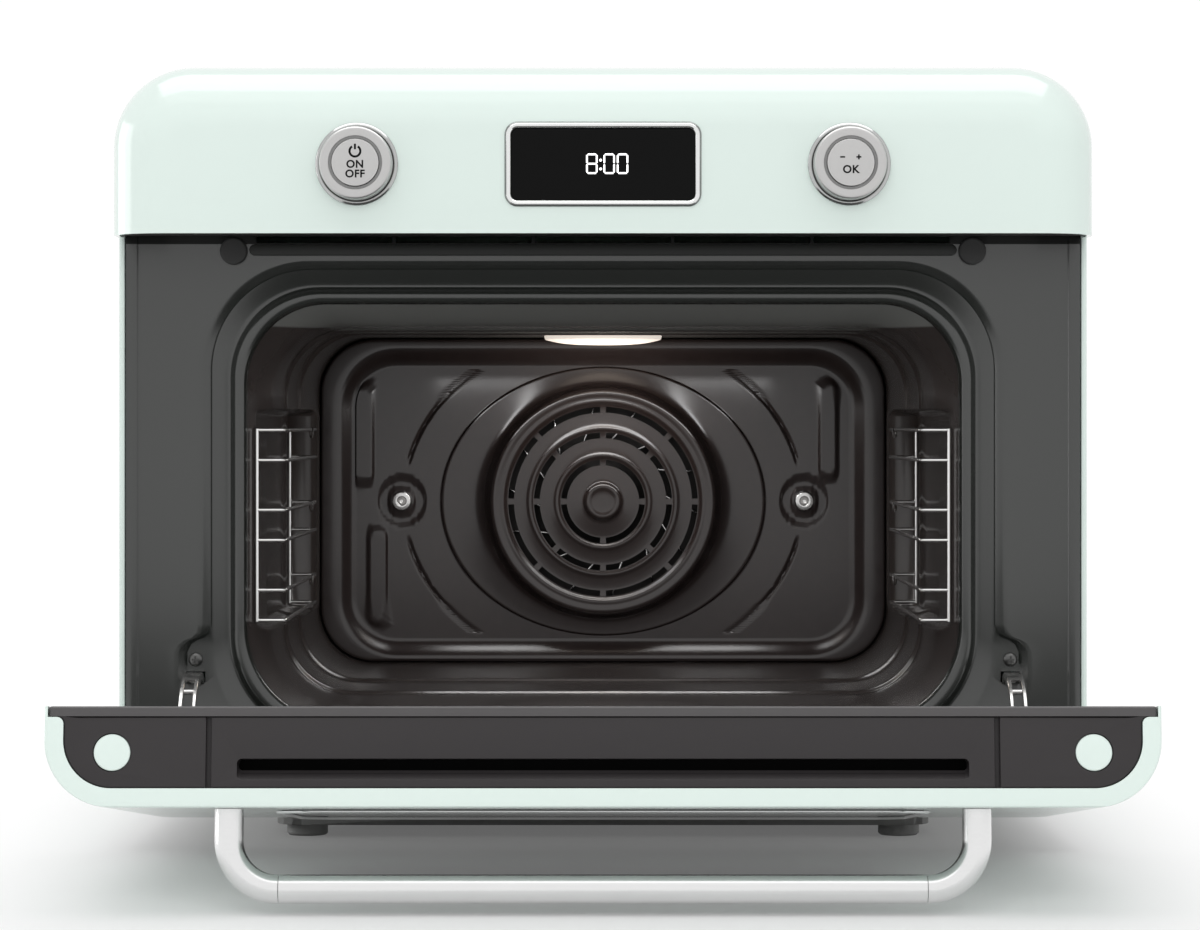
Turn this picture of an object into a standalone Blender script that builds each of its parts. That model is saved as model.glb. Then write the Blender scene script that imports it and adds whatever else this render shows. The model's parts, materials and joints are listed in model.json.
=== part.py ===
"""Countertop convection oven with its drop-down door open.

Metres. +X is right, the front faces -Y and +Z is up. The origin is on the ground, under the middle of
the whole oven with its door open. Pieces of the cabinet are placed from the facade, the front plate
round the oven's mouth; pieces of the door are placed from its hinge line, as if the door were closed.
"""

import math

import bmesh
import bpy
from mathutils import Matrix, Vector

# Clearances
GAP = 0.0003                    # between two pieces that seat on each other
RUNNING = 0.0006                # round a piece that moves
CUTTER_LEAD = 0.010             # how far a cutter starts outside the surface that it opens

# Casing
WIDTH = 0.498
HEIGHT = 0.402
BODY_BOTTOM = 0.024
BODY_DEPTH = 0.348              # facade to the outside of the rear cover
CORNER_RADIUS = 0.041           # corners of the front outline
EDGE_RADIUS = 0.038             # round edge between the sides and the front
CASING_WALL = 0.003             # at its hemmed front edge
HEM = 0.012
SHEET = 0.0012                  # pressed steel
REAR_WALL = SHEET

# Base
PAN_RIM = 0.012
PLINTH_INSET = 0.148            # casing's width less the plinth's
PLINTH_FRONT = 0.074            # behind the facade
PLINTH_TAIL = 0.020             # rear cover to the plinth
PLINTH_WALL = 0.0025
PLINTH_RADIUS = 0.014
FOOT_HEIGHT = 0.0065
FOOT_RADIUS = 0.011
FOOT_INSET = 0.016

# Control panel
PANEL_DEPTH = 0.048             # its front face to the facade
PANEL_HEIGHT = 0.0856
PANEL_WALL = 0.0025
BASE_RECESS = 0.001             # the dark underside sits this far above the panel's lower edge
BASE_SHEET = 0.002
CONTROLS_RISE = 0.0346          # controls above the panel's lower edge
DISPLAY_WIDTH = 0.0988
DISPLAY_HEIGHT = 0.0426
DISPLAY_RADIUS = 0.0065
TRIM_RING = 0.0030
TRIM_PROUD = 0.0015
GLASS_DEPTH = 0.002
BOARD_DEPTH = 0.025             # behind the panel's front face
BOARD_SHEET = 0.0016
BOARD_INSET = 0.198             # casing's width less the board's
BOARD_HEIGHT = 0.050
BOARD_END = 0.0264              # from the middle of an encoder to the end of the board
CARRIER_SHEET = 0.002

# Knobs
BEZEL_RADIUS = 0.0208
BEZEL_PROUD = 0.002
KNOB_RADIUS = 0.0184
KNOB_PROUD = 0.013
KNOB_RING_RADIUS = 0.01345
KNOB_WALL = 0.0016
BUTTON_RADIUS = 0.0118
BUTTON_TRAVEL = 0.002
STEM_RADIUS = 0.0015
ENCODER_SIZE = 0.013
ENCODER_DEPTH = 0.009
BUSHING_RADIUS = 0.0032

# Facade
RIM = 0.0065                    # plain border round the facade
RIM_STEP = 0.0015
FACADE_RETURN = 0.012           # its folded edge reaches this far back
VENT_DROP = 0.0027              # lower edge of the vents under the control panel
VENT_HEIGHT = 0.0035
VENT_INSET = 0.0705             # casing's side to the end of the vents
VENT_RIB = 0.0016
VENT_COUNT = 5
DEFLECTOR_LAP = 0.0035
DEFLECTOR_HEIGHT = 0.0058
DEFLECTOR_PROUD = 0.0015
BUMPER_INSET = 0.059
BUMPER_DROP = 0.0068
BUMPER_RADIUS = 0.007

# Mouth and cavity: depths are behind the facade
MOUTH_INSET = 0.0651            # casing's side to the mouth
MOUTH_LOW = 0.0663
MOUTH_DROP = 0.0339             # control panel to the mouth
MOUTH_RADIUS_HIGH = 0.041
MOUTH_RADIUS_LOW = 0.050
MOUTH_DEPTH = 0.0125
STEP_OUT = 0.0225               # the pressed step stands this far outside the mouth
STEP_WIDTH = 0.0045
STEP_DEPTH = 0.003
FLARE_OUT = 0.0125              # the step swings out round each hinge
FLARE_OVER_BRACKET = 0.0125
FLARE_SLOPE = 0.010
LOW_SHARE = 0.4                 # how much of a ring's offset its lower corners take
HIGH_SHARE = 0.6
CAVITY_TAIL = 0.053             # room for the motor behind the cavity
CAVITY_IN = 0.0104              # funnel's narrowing at each side
CAVITY_LOW = 0.0735
CAVITY_DROP = 0.0103
CAVITY_START = 0.045            # where the funnel behind the mouth ends
CAVITY_RADIUS = 0.036
TAPER_SIDE = 0.0085             # how far the cavity narrows to its rear wall
TAPER_FLOOR = 0.0083
REAR_RADIUS = 0.031
RIDGE_WIDTH = 0.012
RIDGE_HEIGHT = 0.0014
ALCOVE_IN = 0.0026              # racks' alcoves in the sides
ALCOVE_DROP = 0.0432
ALCOVE_LOW = 0.1125
ALCOVE_SLOPE = 0.004
ALCOVE_TAIL = 0.059

# Side racks
RACK_FRONT = 0.020
RACK_TAIL = 0.0092              # end of the alcove to the rear upright
RACK_WIRE = 0.00115
RUNG_WIRE = 0.00105
RUNG_REACH = 0.0146
RUNG_BEND = 0.0022
RACK_DROP = 0.0115
RACK_RISE = 0.0061
RUNG_PAIR = 0.0157              # between the two rungs that take one tray
STOP_DIP = 0.0045
STOP_HALF = 0.006
STOP_AHEAD = 0.030              # the dip that stops a tray, ahead of the rear upright

# Fan, its cover, its motor and the ring heater
FAN_DROP = 0.0009               # fan's axis under the middle of the rear wall
COVER_AHEAD = 0.027             # front of the cover's border, ahead of the rear wall
COVER_SHEET = 0.001
COVER_BORDER = 0.016
COVER_BORDER_LOW = 0.0087
COVER_BORDER_HIGH = 0.0122
COVER_PANEL_RADIUS = 0.028
COVER_PANEL_DEPTH = 0.0055
DISH_MARGIN = 0.00515
DISH_STRETCH = 0.0165           # the dish is wider than it is high
DISH_RISE = 0.002
DISH_RING = 0.0085              # dish's edge to the grille
GRILLE_RISE = 0.015             # crest of the grille in front of the cover's panel
GRILLE_DIP = 0.0035
SLOT_WIDTH = 0.0044
SLOT_SHARE = 0.217              # step between two slot rings, as a share of the grille's radius
SLOT_MARGIN = 0.0171            # grille's edge to its outer slots
SLOT_COUNTS = (8, 8, 4)
SLOT_BRIDGE = 0.0038
HUB_RADIUS = 0.011
COVER_SCREW_SHIFT = 0.00425      # screws stand this far in from the middle of the panel beside the dish
COVER_SCREW_RADIUS = 0.006
SCREW_SHANK = 0.0018
FAN_AHEAD = 0.009               # the impeller's disc, ahead of the rear wall
FAN_MARGIN = 0.0125             # grille's edge to the impeller's
FAN_BLADES = 14
BLADE_START = 0.028             # from the axis
BLADE_HEIGHT = 0.013
BLADE_TURN = 28
SHAFT_RADIUS = 0.003
HUB_LENGTH = 0.012
MOTOR_RADIUS = 0.029
MOTOR_LENGTH = 0.030
MOTOR_PLATE = 0.076
HEATER_TUBE = 0.0032
HEATER_FLAT = 0.87              # a tube drawn with few sides reaches this share of its radius
RING_HEATER_OUT = 0.002         # outside the grille's edge
RING_HEATER_AHEAD = 0.0115
TERMINAL_SPREAD = 0.012
TERMINAL_LENGTH = 0.018
HEATER_INSET = 0.045
HEATER_FRONT = 0.075
HEATER_AHEAD = 0.033
HEATER_TAIL = 0.050
HEATER_TAIL_X = 0.030
HEATER_BEND = 0.014

# Lamp
LAMP_AHEAD = 0.061              # lamp's middle, ahead of the fan cover
LAMP_RADIUS = 0.0335
LAMP_DROP = 0.0052
LAMP_HOLE = 0.025
HOUSING_HEIGHT = 0.030
BULB_RADIUS = 0.009
BULB_BASE = 0.012
BULB_LENGTH = 0.0285
REAR_RIDGE_AHEAD = 0.041
FRONT_RIDGE_AHEAD = 0.107

# Door, from its hinge line
OPEN_ANGLE = math.radians(83)
HINGE_FORWARD = 0.008           # hinge line in front of the facade
HINGE_Z = 0.0588
DOOR_GAP = 0.003                # to the control panel above, and to the facade behind
DOOR_BELOW = 0.0055             # the door reaches this far under its hinge line
DOOR_WALL = 0.0015
DOOR_RIM = 0.0085
DOOR_RIM_SHEET = 0.0025
FRAME_SHEET = 0.0045
CAP_HEIGHT = 0.0135
CAP_RECESS = 0.0005
GROOVE_INSET = 0.0733           # door's side to the groove in its cap
GROOVE_WIDTH = 0.0022
GROOVE_DEPTH = 0.003
DOOR_SLOT_INSET = 0.0127        # groove to the end of the slot
DOOR_SLOT_WIDTH = 0.0097
DOOR_SLOT_LEAN = 0.0038         # the slot narrows by this much towards its floor
DOOR_SLOT_IN = 0.0233           # behind the door's inner face
DOOR_SLOT_DEPTH = 0.010
PLUG_INSET = 0.0303
PLUG_RADIUS = 0.00825
PLUG_IN = 0.0206
PLUG_LENGTH = 0.006
WINDOW_INSET = 0.1005
WINDOW_BELOW_TOP = 0.047
WINDOW_ABOVE_HINGE = 0.052
WINDOW_RADIUS = 0.018
WINDOW_TRIM = 0.003
OUTER_GLASS = 0.003
INNER_WINDOW_INSET = 0.079
INNER_WINDOW_MARGIN = 0.028
INNER_WINDOW_RADIUS = 0.025
INNER_GLASS = 0.004
GLASS_LAP = 0.0075

# Hinges
ARM_INSET = 0.039
ARM_WIDTH = 0.0086
ARM_CHEEK = 0.0018
ARM_RADIUS = 0.0345
ARM_HEIGHT = 0.004
ARM_START = math.radians(-6)
ARM_END = math.radians(112)
ARM_PIN_RADIUS = 0.0014
LUG_IN = 0.0115                 # lug's inner face to the middle of the arm
LUG_SHEET = 0.0025
LUG_RADIUS = 0.0055
PIN_RADIUS = 0.002
PIN_LENGTH = 0.0140
EAR_WIDTH = 0.0155
EAR_WALL = 0.0012
BRACKET_BACK = 0.030
SCREW_OVER_ARM = 0.0059         # hinge screw above the arm's slot
BRACKET_OVER_SCREW = 0.0073
BRACKET_LOW = 0.040
BRACKET_SLOPE = 0.015
HINGE_SCREW_RADIUS = 0.0036

# Handle
HANDLE_INSET = 0.081
HANDLE_BELOW_TOP = 0.020
HANDLE_STANDOFF = 0.036
HANDLE_RADIUS = 0.0065
HANDLE_BEND = 0.0225

# Back
GLAND_INSET = 0.084
GLAND_Z = 0.060
GLAND_RADIUS = 0.008
GLAND_PROUD = 0.003
LOUVRE_COUNT = 9
LOUVRE_PITCH = 0.022
LOUVRE_LENGTH = 0.040
LOUVRE_WIDTH = 0.004
LOUVRES_UNDER_FAN = 0.045
LOUVRES_OVER_FAN = 0.075

# Worked out from the sizes above
HALF = WIDTH / 2
PLINTH_WIDTH = WIDTH - PLINTH_INSET
PLINTH_BACK = BODY_DEPTH - PLINTH_TAIL
PANEL_BOTTOM = HEIGHT - PANEL_HEIGHT
CONTROLS_Z = PANEL_BOTTOM + CONTROLS_RISE
BOARD_WIDTH = WIDTH - BOARD_INSET
KNOB_X = BOARD_WIDTH / 2 - BOARD_END
VENT_LOW = PANEL_BOTTOM - VENT_DROP
VENT_HALF = HALF - VENT_INSET
DEFLECTOR_HALF = VENT_HALF + DEFLECTOR_LAP
BUMPER_X = HALF - BUMPER_INSET
BUMPER_Z = PANEL_BOTTOM - BUMPER_DROP
MOUTH_HALF = HALF - MOUTH_INSET
MOUTH_HIGH = PANEL_BOTTOM - MOUTH_DROP
CAVITY_DEPTH = BODY_DEPTH - CAVITY_TAIL
CAVITY_HALF = MOUTH_HALF - CAVITY_IN
CAVITY_HIGH = MOUTH_HIGH - CAVITY_DROP
REAR_HALF = CAVITY_HALF - TAPER_SIDE
REAR_LOW = CAVITY_LOW + TAPER_FLOOR
REAR_HIGH = CAVITY_HIGH - SHEET
ALCOVE_HALF = MOUTH_HALF - ALCOVE_IN
ALCOVE_HIGH = CAVITY_HIGH - ALCOVE_DROP
ALCOVE_END = CAVITY_DEPTH - ALCOVE_TAIL
RACK_DEPTH = ALCOVE_END - RACK_FRONT - RACK_TAIL
RACK_TOP = ALCOVE_HIGH - RACK_DROP
LAST_RUNG = ALCOVE_LOW + RACK_RISE
RUNG_PITCH = (RACK_TOP - LAST_RUNG - RUNG_PAIR) / 2
FAN_Z = (REAR_LOW + REAR_HIGH) / 2 - FAN_DROP
COVER_DEPTH = CAVITY_DEPTH - COVER_AHEAD
COVER_PANEL_HALF = REAR_HALF - COVER_BORDER
COVER_PANEL_LOW = REAR_LOW + COVER_BORDER_LOW
COVER_PANEL_HIGH = REAR_HIGH - COVER_BORDER_HIGH
DISH_HALF_Z = (COVER_PANEL_HIGH - COVER_PANEL_LOW) / 2 - DISH_MARGIN
DISH_HALF_X = DISH_HALF_Z + DISH_STRETCH
GRILLE_RADIUS = DISH_HALF_Z - DISH_RING
SLOT_STEP = GRILLE_RADIUS * SLOT_SHARE
OUTER_SLOT = GRILLE_RADIUS - SLOT_MARGIN
SLOT_RADII = (OUTER_SLOT, OUTER_SLOT - SLOT_STEP, OUTER_SLOT - 2 * SLOT_STEP)
COVER_SCREW_X = (DISH_HALF_X + COVER_PANEL_HALF) / 2 - COVER_SCREW_SHIFT
FAN_DEPTH = CAVITY_DEPTH - FAN_AHEAD
FAN_RADIUS = GRILLE_RADIUS - FAN_MARGIN
BLADE_LENGTH = FAN_RADIUS - BLADE_START
RING_HEATER_RADIUS = GRILLE_RADIUS + RING_HEATER_OUT
RING_HEATER_DEPTH = CAVITY_DEPTH - RING_HEATER_AHEAD
HEATER_HALF = REAR_HALF - HEATER_INSET
HEATER_BACK = CAVITY_DEPTH - HEATER_AHEAD
LAMP_DEPTH = COVER_DEPTH - LAMP_AHEAD
RIDGES = (LAMP_DEPTH - FRONT_RIDGE_AHEAD, LAMP_DEPTH - REAR_RIDGE_AHEAD)
GROOVE_X = HALF - GROOVE_INSET
DOOR_SLOT_HALF = GROOVE_X - DOOR_SLOT_INSET
PLUG_X = HALF - PLUG_INSET
WINDOW_HALF = HALF - WINDOW_INSET
INNER_WINDOW_HALF = HALF - INNER_WINDOW_INSET
ARM_X = HALF - ARM_INSET
LUG_X = ARM_X - LUG_IN
HANDLE_X = HALF - HANDLE_INSET
GLAND_X = GLAND_INSET - HALF
LOUVRE_ROWS = (FAN_Z - LOUVRES_UNDER_FAN, FAN_Z + LOUVRES_OVER_FAN)
HINGE_SCREW_Z = HINGE_Z + ARM_RADIUS + SCREW_OVER_ARM
BRACKET_TOP = HINGE_SCREW_Z + BRACKET_OVER_SCREW
FLARE_HIGH = BRACKET_TOP + FLARE_OVER_BRACKET
INNER_HALF = HALF - CASING_WALL - GAP
DOOR_TOP = PANEL_BOTTOM - DOOR_GAP - HINGE_Z
DOOR_INNER = HINGE_FORWARD - DOOR_GAP
DOOR_OUTER = -(PANEL_DEPTH - HINGE_FORWARD)
FRONT_REACH = HINGE_FORWARD - DOOR_OUTER * math.cos(OPEN_ANGLE) + DOOR_TOP * math.sin(OPEN_ANGLE)
BACK_REACH = BODY_DEPTH + GLAND_PROUD
FACADE_Y = (FRONT_REACH - BACK_REACH) / 2
PANEL_FRONT = -PANEL_DEPTH


# Scene, materials and the two collections

def clear_scene():
    for obj in list(bpy.data.objects):
        bpy.data.objects.remove(obj)


def new_collection(name, hidden):
    made = bpy.data.collections.new(name)
    made.hide_render = hidden
    bpy.context.scene.collection.children.link(made)
    return made


def new_material(name, colour, roughness, metallic=0.0):
    made = bpy.data.materials.new(name)
    made.use_nodes = True
    shader = made.node_tree.nodes["Principled BSDF"]
    shader.inputs["Base Color"].default_value = (*colour, 1)
    shader.inputs["Roughness"].default_value = roughness
    shader.inputs["Metallic"].default_value = metallic
    return made


clear_scene()
PARTS = new_collection("toaster_oven", hidden=False)
HELPERS = new_collection("cutters", hidden=True)

MINT = new_material("mint_enamel", (0.70, 0.84, 0.76), 0.12)
DARK_ENAMEL = new_material("dark_enamel", (0.055, 0.058, 0.055), 0.30)
CAVITY_ENAMEL = new_material("cavity_enamel", (0.045, 0.035, 0.034), 0.22)
DARK_PLASTIC = new_material("dark_plastic", (0.060, 0.056, 0.056), 0.55)
STEEL = new_material("satin_steel", (0.62, 0.61, 0.59), 0.28, 1.0)
CHROME = new_material("chrome", (0.75, 0.75, 0.75), 0.10, 1.0)
PLATED_STEEL = new_material("plated_steel", (0.48, 0.48, 0.47), 0.40, 1.0)
BLACK_GLASS = new_material("black_glass", (0.006, 0.006, 0.007), 0.05)
WINDOW_GLASS = new_material("window_glass", (0.03, 0.03, 0.03), 0.04)
LAMP_GLASS = new_material("lamp_glass", (0.95, 0.90, 0.78), 0.15)
RUBBER = new_material("rubber", (0.03, 0.03, 0.03), 0.80)
BOARD = new_material("circuit_board", (0.02, 0.12, 0.05), 0.50)
CERAMIC = new_material("ceramic", (0.80, 0.78, 0.72), 0.60)


# Frames that carry the pieces

def new_frame(name, location, parent=None, turn=0.0):
    frame = bpy.data.objects.new(name, None)
    frame.parent = parent
    frame.location = location
    frame.rotation_euler = (turn, 0, 0)
    PARTS.objects.link(frame)
    return frame


CABINET = new_frame("cabinet_frame", (0, FACADE_Y, 0))
DOOR = new_frame("door_hinge_line", (0, -HINGE_FORWARD, HINGE_Z), CABINET, OPEN_ANGLE)
FAN = new_frame("fan_axis", (0, FAN_DEPTH, FAN_Z), CABINET)


# Making pieces

def as_object(name, mesh, material, parent, helper):
    obj = bpy.data.objects.new(name, mesh)
    obj.parent = parent
    mesh.materials.append(material or PLATED_STEEL)
    mesh.shade_smooth()
    mesh.set_sharp_from_angle(angle=math.radians(32))
    if helper:
        obj.hide_render = True
        obj.display_type = "WIRE"
    (HELPERS if helper else PARTS).objects.link(obj)
    return obj


def from_bmesh(name, bm, material=None, parent=CABINET, helper=False, closed=True):
    """An object from a bmesh, which is freed; a closed one has its faces turned outwards."""
    bm.normal_update()
    if closed:
        bmesh.ops.recalc_face_normals(bm, faces=bm.faces)
    mesh = bpy.data.meshes.new(name)
    bm.to_mesh(mesh)
    bm.free()
    return as_object(name, mesh, material, parent, helper)


def cut(obj, *cutters):
    for cutter in cutters:
        modifier = obj.modifiers.new("cut " + cutter.name, "BOOLEAN")
        modifier.operation = "DIFFERENCE"
        modifier.solver = "EXACT"
        modifier.object = cutter


def join(obj, *others):
    for other in others:
        modifier = obj.modifiers.new("join " + other.name, "BOOLEAN")
        modifier.operation = "UNION"
        modifier.solver = "EXACT"
        modifier.object = other


def add_box(bm, low, high):
    size = Vector(high) - Vector(low)
    middle = (Vector(high) + Vector(low)) / 2
    place = Matrix.Translation(middle) @ Matrix.Diagonal((*size, 1))
    bmesh.ops.create_cube(bm, size=1, matrix=place)


def add_cylinder(bm, start, axis, radius, length, segments=20, tip=None):
    """A cylinder from start along axis, or a cone down to the radius tip."""
    turn = Vector(axis).to_track_quat("Z", "Y").to_matrix().to_4x4()
    place = Matrix.Translation(start) @ turn @ Matrix.Translation((0, 0, length / 2))
    bmesh.ops.create_cone(
        bm, cap_ends=True, segments=segments, radius1=radius,
        radius2=radius if tip is None else tip, depth=length, matrix=place,
    )


def box(name, low, high, material=None, parent=CABINET, helper=False):
    bm = bmesh.new()
    add_box(bm, low, high)
    return from_bmesh(name, bm, material, parent, helper)


def cylinder(name, start, axis, radius, length, material=None, parent=CABINET, helper=False, segments=20):
    bm = bmesh.new()
    add_cylinder(bm, start, axis, radius, length, segments)
    return from_bmesh(name, bm, material, parent, helper)


def turned(name, profile, material, parent=CABINET, place=(0, 0, 0), front=True, steps=24, helper=False):
    """A turned piece. Its profile gives radius and height; height points to the front, or up."""
    mesh = bpy.data.meshes.new(name)
    edges = [(i, i + 1) for i in range(len(profile) - 1)]
    if profile[0][0] > 0 and profile[-1][0] > 0:
        edges.append((len(profile) - 1, 0))
    mesh.from_pydata([(radius, 0, height) for radius, height in profile], edges, [])
    obj = as_object(name, mesh, material, parent, helper)
    obj.location = place
    if front:
        obj.rotation_euler = (math.pi / 2, 0, 0)
    screw = obj.modifiers.new("turn", "SCREW")
    screw.axis = "Z"
    screw.steps = steps
    screw.render_steps = steps
    screw.use_merge_vertices = True
    screw.merge_threshold = 0.00001
    return obj


def curve_mesh(name, splines, cyclic, **settings):
    """The mesh of a poly curve, with its caps welded."""
    data = bpy.data.curves.new(name, "CURVE")
    for key, value in settings.items():
        setattr(data, key, value)
    for points in splines:
        spline = data.splines.new("POLY")
        spline.points.add(len(points) - 1)
        spline.use_cyclic_u = cyclic
        for point, place in zip(spline.points, points):
            point.co = (*place, 1)
    obj = bpy.data.objects.new(name, data)
    HELPERS.objects.link(obj)
    graph = bpy.context.evaluated_depsgraph_get()
    mesh = bpy.data.meshes.new_from_object(obj.evaluated_get(graph))
    bpy.data.objects.remove(obj)
    bm = bmesh.new()
    bm.from_mesh(mesh)
    bpy.data.meshes.remove(mesh)
    bmesh.ops.remove_doubles(bm, verts=bm.verts, dist=0.000001)
    return bm


def tube(name, points, radius, material=None, parent=CABINET, helper=False, resolution=2, cyclic=False):
    bm = curve_mesh(
        name, [points], cyclic, dimensions="3D", bevel_depth=radius,
        bevel_resolution=resolution, use_fill_caps=not cyclic,
    )
    return from_bmesh(name, bm, material, parent, helper)


ALONG = {
    "y": lambda a, b, t: (a, t, b),
    "x": lambda a, b, t: (t, a, b),
    "z": lambda a, b, t: (a, b, t),
}


def plate(name, outlines, low, high, material=None, parent=CABINET, helper=False, along="y"):
    """A flat outline, with holes, thickened along one axis from low to high."""
    splines = [[(a, b, 0) for a, b in outline] for outline in outlines]
    bm = curve_mesh(
        name, splines, True, dimensions="2D", fill_mode="BOTH", extrude=(high - low) / 2,
    )
    for vert in bm.verts:
        vert.co = ALONG[along](vert.co.x, vert.co.y, vert.co.z + (low + high) / 2)
    return from_bmesh(name, bm, material, parent, helper)


def loft(name, rings, material=None, parent=CABINET, helper=False, caps=True, loop=False):
    """Skins a row of rings of equal count. The row is capped, left open, or closed into a loop."""
    bm = bmesh.new()
    rows = [[bm.verts.new(point) for point in ring] for ring in rings]
    pairs = list(zip(rows, rows[1:]))
    if loop:
        pairs.append((rows[-1], rows[0]))
    for outer, inner in pairs:
        for i in range(len(outer)):
            j = (i + 1) % len(outer)
            bm.faces.new((outer[i], outer[j], inner[j], inner[i]))
    if caps and not loop:
        bm.faces.new(rows[0])
        bm.faces.new(rows[-1])
    return from_bmesh(name, bm, material, parent, helper, closed=caps or loop)


def thicken(obj, thickness):
    modifier = obj.modifiers.new("sheet", "SOLIDIFY")
    modifier.thickness = thickness
    modifier.offset = -1
    modifier.use_even_offset = True


# Outlines

def arc(centre, radius, start, end, steps):
    """Points round an arc, both ends included; angles in degrees."""
    points = []
    for i in range(steps + 1):
        angle = math.radians(start + (end - start) * i / steps)
        points.append((centre[0] + radius * math.cos(angle), centre[1] + radius * math.sin(angle)))
    return points


def corner(centre, radius, start, steps):
    """A quarter turn from start, or one point where the corner is square."""
    if radius <= 0:
        return [centre]
    return arc(centre, radius, start, start + 90, steps)


def rounded(half, low, high, radius_low, radius_high, steps=6, side=()):
    """A rectangle with round corners, anticlockwise from its upper right. Side gives extra points
    (height, half width) from the top down, which both sides take."""
    points = corner((half - radius_high, high - radius_high), radius_high, 0, steps)
    points += corner((radius_high - half, high - radius_high), radius_high, 90, steps)
    points += [(-width, height) for height, width in side]
    points += corner((radius_low - half, low + radius_low), radius_low, 180, steps)
    points += corner((half - radius_low, low + radius_low), radius_low, 270, steps)
    points += [(width, height) for height, width in reversed(side)]
    return points


def rounded_box(half_x, half_z, radius, centre=(0, 0), steps=4):
    points = rounded(half_x, -half_z, half_z, radius, radius, steps)
    return [(x + centre[0], z + centre[1]) for x, z in points]


def slot(centre, half_x, half_z, steps=3):
    """A slot with round ends along its longer side."""
    return rounded_box(half_x, half_z, min(half_x, half_z) * 0.98, centre, steps)


def circle(centre, radius, count=20):
    return arc(centre, radius, 0, 360, count)[:-1]


def at_depth(outline, depth):
    return [(x, depth, z) for x, z in outline]


def arch(offset, low, steps=7):
    """The casing's round-topped outline, its wall's thickness in, from lower right to lower left."""
    radius = CORNER_RADIUS - offset
    half = HALF - offset
    high = HEIGHT - offset
    points = [(half, low)]
    points += arc((half - radius, high - radius), radius, 0, 90, steps)
    points += arc((radius - half, high - radius), radius, 90, 180, steps)
    return points + [(-half, low)]


def plan(front, back, offset, steps=7):
    """Section of a round-edged front seen from above, from back right round to back left."""
    radius = EDGE_RADIUS - offset
    half = HALF - offset
    front = front + offset
    points = [(half, back)]
    points += arc((half - radius, front + radius), radius, 0, -90, steps)
    points += arc((radius - half, front + radius), radius, -90, -180, steps)
    return points + [(-half, back)]


def rounded_front(name, front, back, low, high, offset, round_top, helper=False, material=None,
                  parent=CABINET, steps=7):
    """A solid with a flat front whose side edges, and upper or lower edge, roll back."""
    rings = []
    radius = EDGE_RADIUS - offset
    corner_radius = CORNER_RADIUS - offset
    insets = [(0.0, back)]
    for i in range(steps + 1):
        angle = math.pi / 2 * i / steps
        insets.append((radius * (1 - math.cos(angle)), front + offset + radius * (1 - math.sin(angle))))
    for inset, depth in insets:
        half = HALF - offset - inset
        turn = corner_radius - inset
        if round_top:
            outline = rounded(half, low, high - inset, 0, turn)
        else:
            outline = rounded(half, low + inset, high, turn, 0)
        rings.append(at_depth(outline, depth))
    return loft(name, rings, material, parent, helper)


def edge_inset(depth, offset):
    """How far the rolled edge stands in at this depth behind the front face."""
    radius = EDGE_RADIUS - offset
    rise = min(1.0, max(0.0, 1 - (depth - offset) / radius))
    return radius * (1 - math.sqrt(1 - rise * rise))


def fillet_path(points, radius, steps=4):
    """A path of straight runs whose inner corners are bent to a radius."""
    path = [Vector(points[0])]
    for before, here, after in zip(points, points[1:], points[2:]):
        here = Vector(here)
        back = (Vector(before) - here).normalized()
        ahead = (Vector(after) - here).normalized()
        half_angle = back.angle(ahead) / 2
        reach = radius / math.tan(half_angle)
        start = here + back * reach
        centre = here + (back + ahead).normalized() * (radius / math.sin(half_angle))
        arm = start - centre
        axis = arm.cross(here + ahead * reach - centre)
        sweep = math.pi - 2 * half_angle
        for i in range(steps + 1):
            path.append(centre + Matrix.Rotation(sweep * i / steps, 3, axis) @ arm)
    path.append(Vector(points[-1]))
    return path


# Casing and base

def casing_wrap():
    """Sides and top in one folded sheet, open below."""
    back = BODY_DEPTH - REAR_WALL - GAP
    outline = arch(0, BODY_BOTTOM) + arch(CASING_WALL, BODY_BOTTOM)[::-1]
    wrap = plate("casing_wrap", [outline], 0, back, MINT)
    thin = plate("wrap_hollow", [arch(SHEET, BODY_BOTTOM - SHEET)], HEM, back + SHEET, helper=True)
    cut(wrap, thin)


def rear_cover():
    outlines = [arch(0, BODY_BOTTOM), circle((GLAND_X, GLAND_Z), GLAND_RADIUS + GAP)]
    for row in LOUVRE_ROWS:
        for i in range(LOUVRE_COUNT):
            x = (i - (LOUVRE_COUNT - 1) / 2) * LOUVRE_PITCH
            outlines.append(slot((x, row), LOUVRE_WIDTH / 2, LOUVRE_LENGTH / 2, 1))
    plate("rear_cover", outlines, BODY_DEPTH - REAR_WALL, BODY_DEPTH, MINT)


def cord_gland():
    neck = GLAND_RADIUS
    flange = GLAND_RADIUS + 0.003
    bore = 0.0035
    inside = -(REAR_WALL + 0.006)
    profile = [
        (bore, GLAND_PROUD), (neck - 0.001, GLAND_PROUD), (flange, GAP + 0.001), (flange, GAP),
        (neck, GAP), (neck, inside), (bore, inside),
    ]
    gland = turned("cord_gland", profile, RUBBER, place=(GLAND_X, BODY_DEPTH, GLAND_Z))
    gland.rotation_euler = (-math.pi / 2, 0, 0)


def base_pan():
    front = FACADE_RETURN + GAP
    back = BODY_DEPTH - REAR_WALL - GAP
    edge = HALF - SHEET - GAP
    pan = box("base_pan", (-edge, front, BODY_BOTTOM), (edge, back, BODY_BOTTOM + PAN_RIM), DARK_ENAMEL)
    inside = edge - SHEET
    cut(pan, box(
        "pan_hollow", (-inside, front + SHEET, BODY_BOTTOM + SHEET),
        (inside, back - SHEET, HEIGHT), helper=True,
    ))


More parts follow.
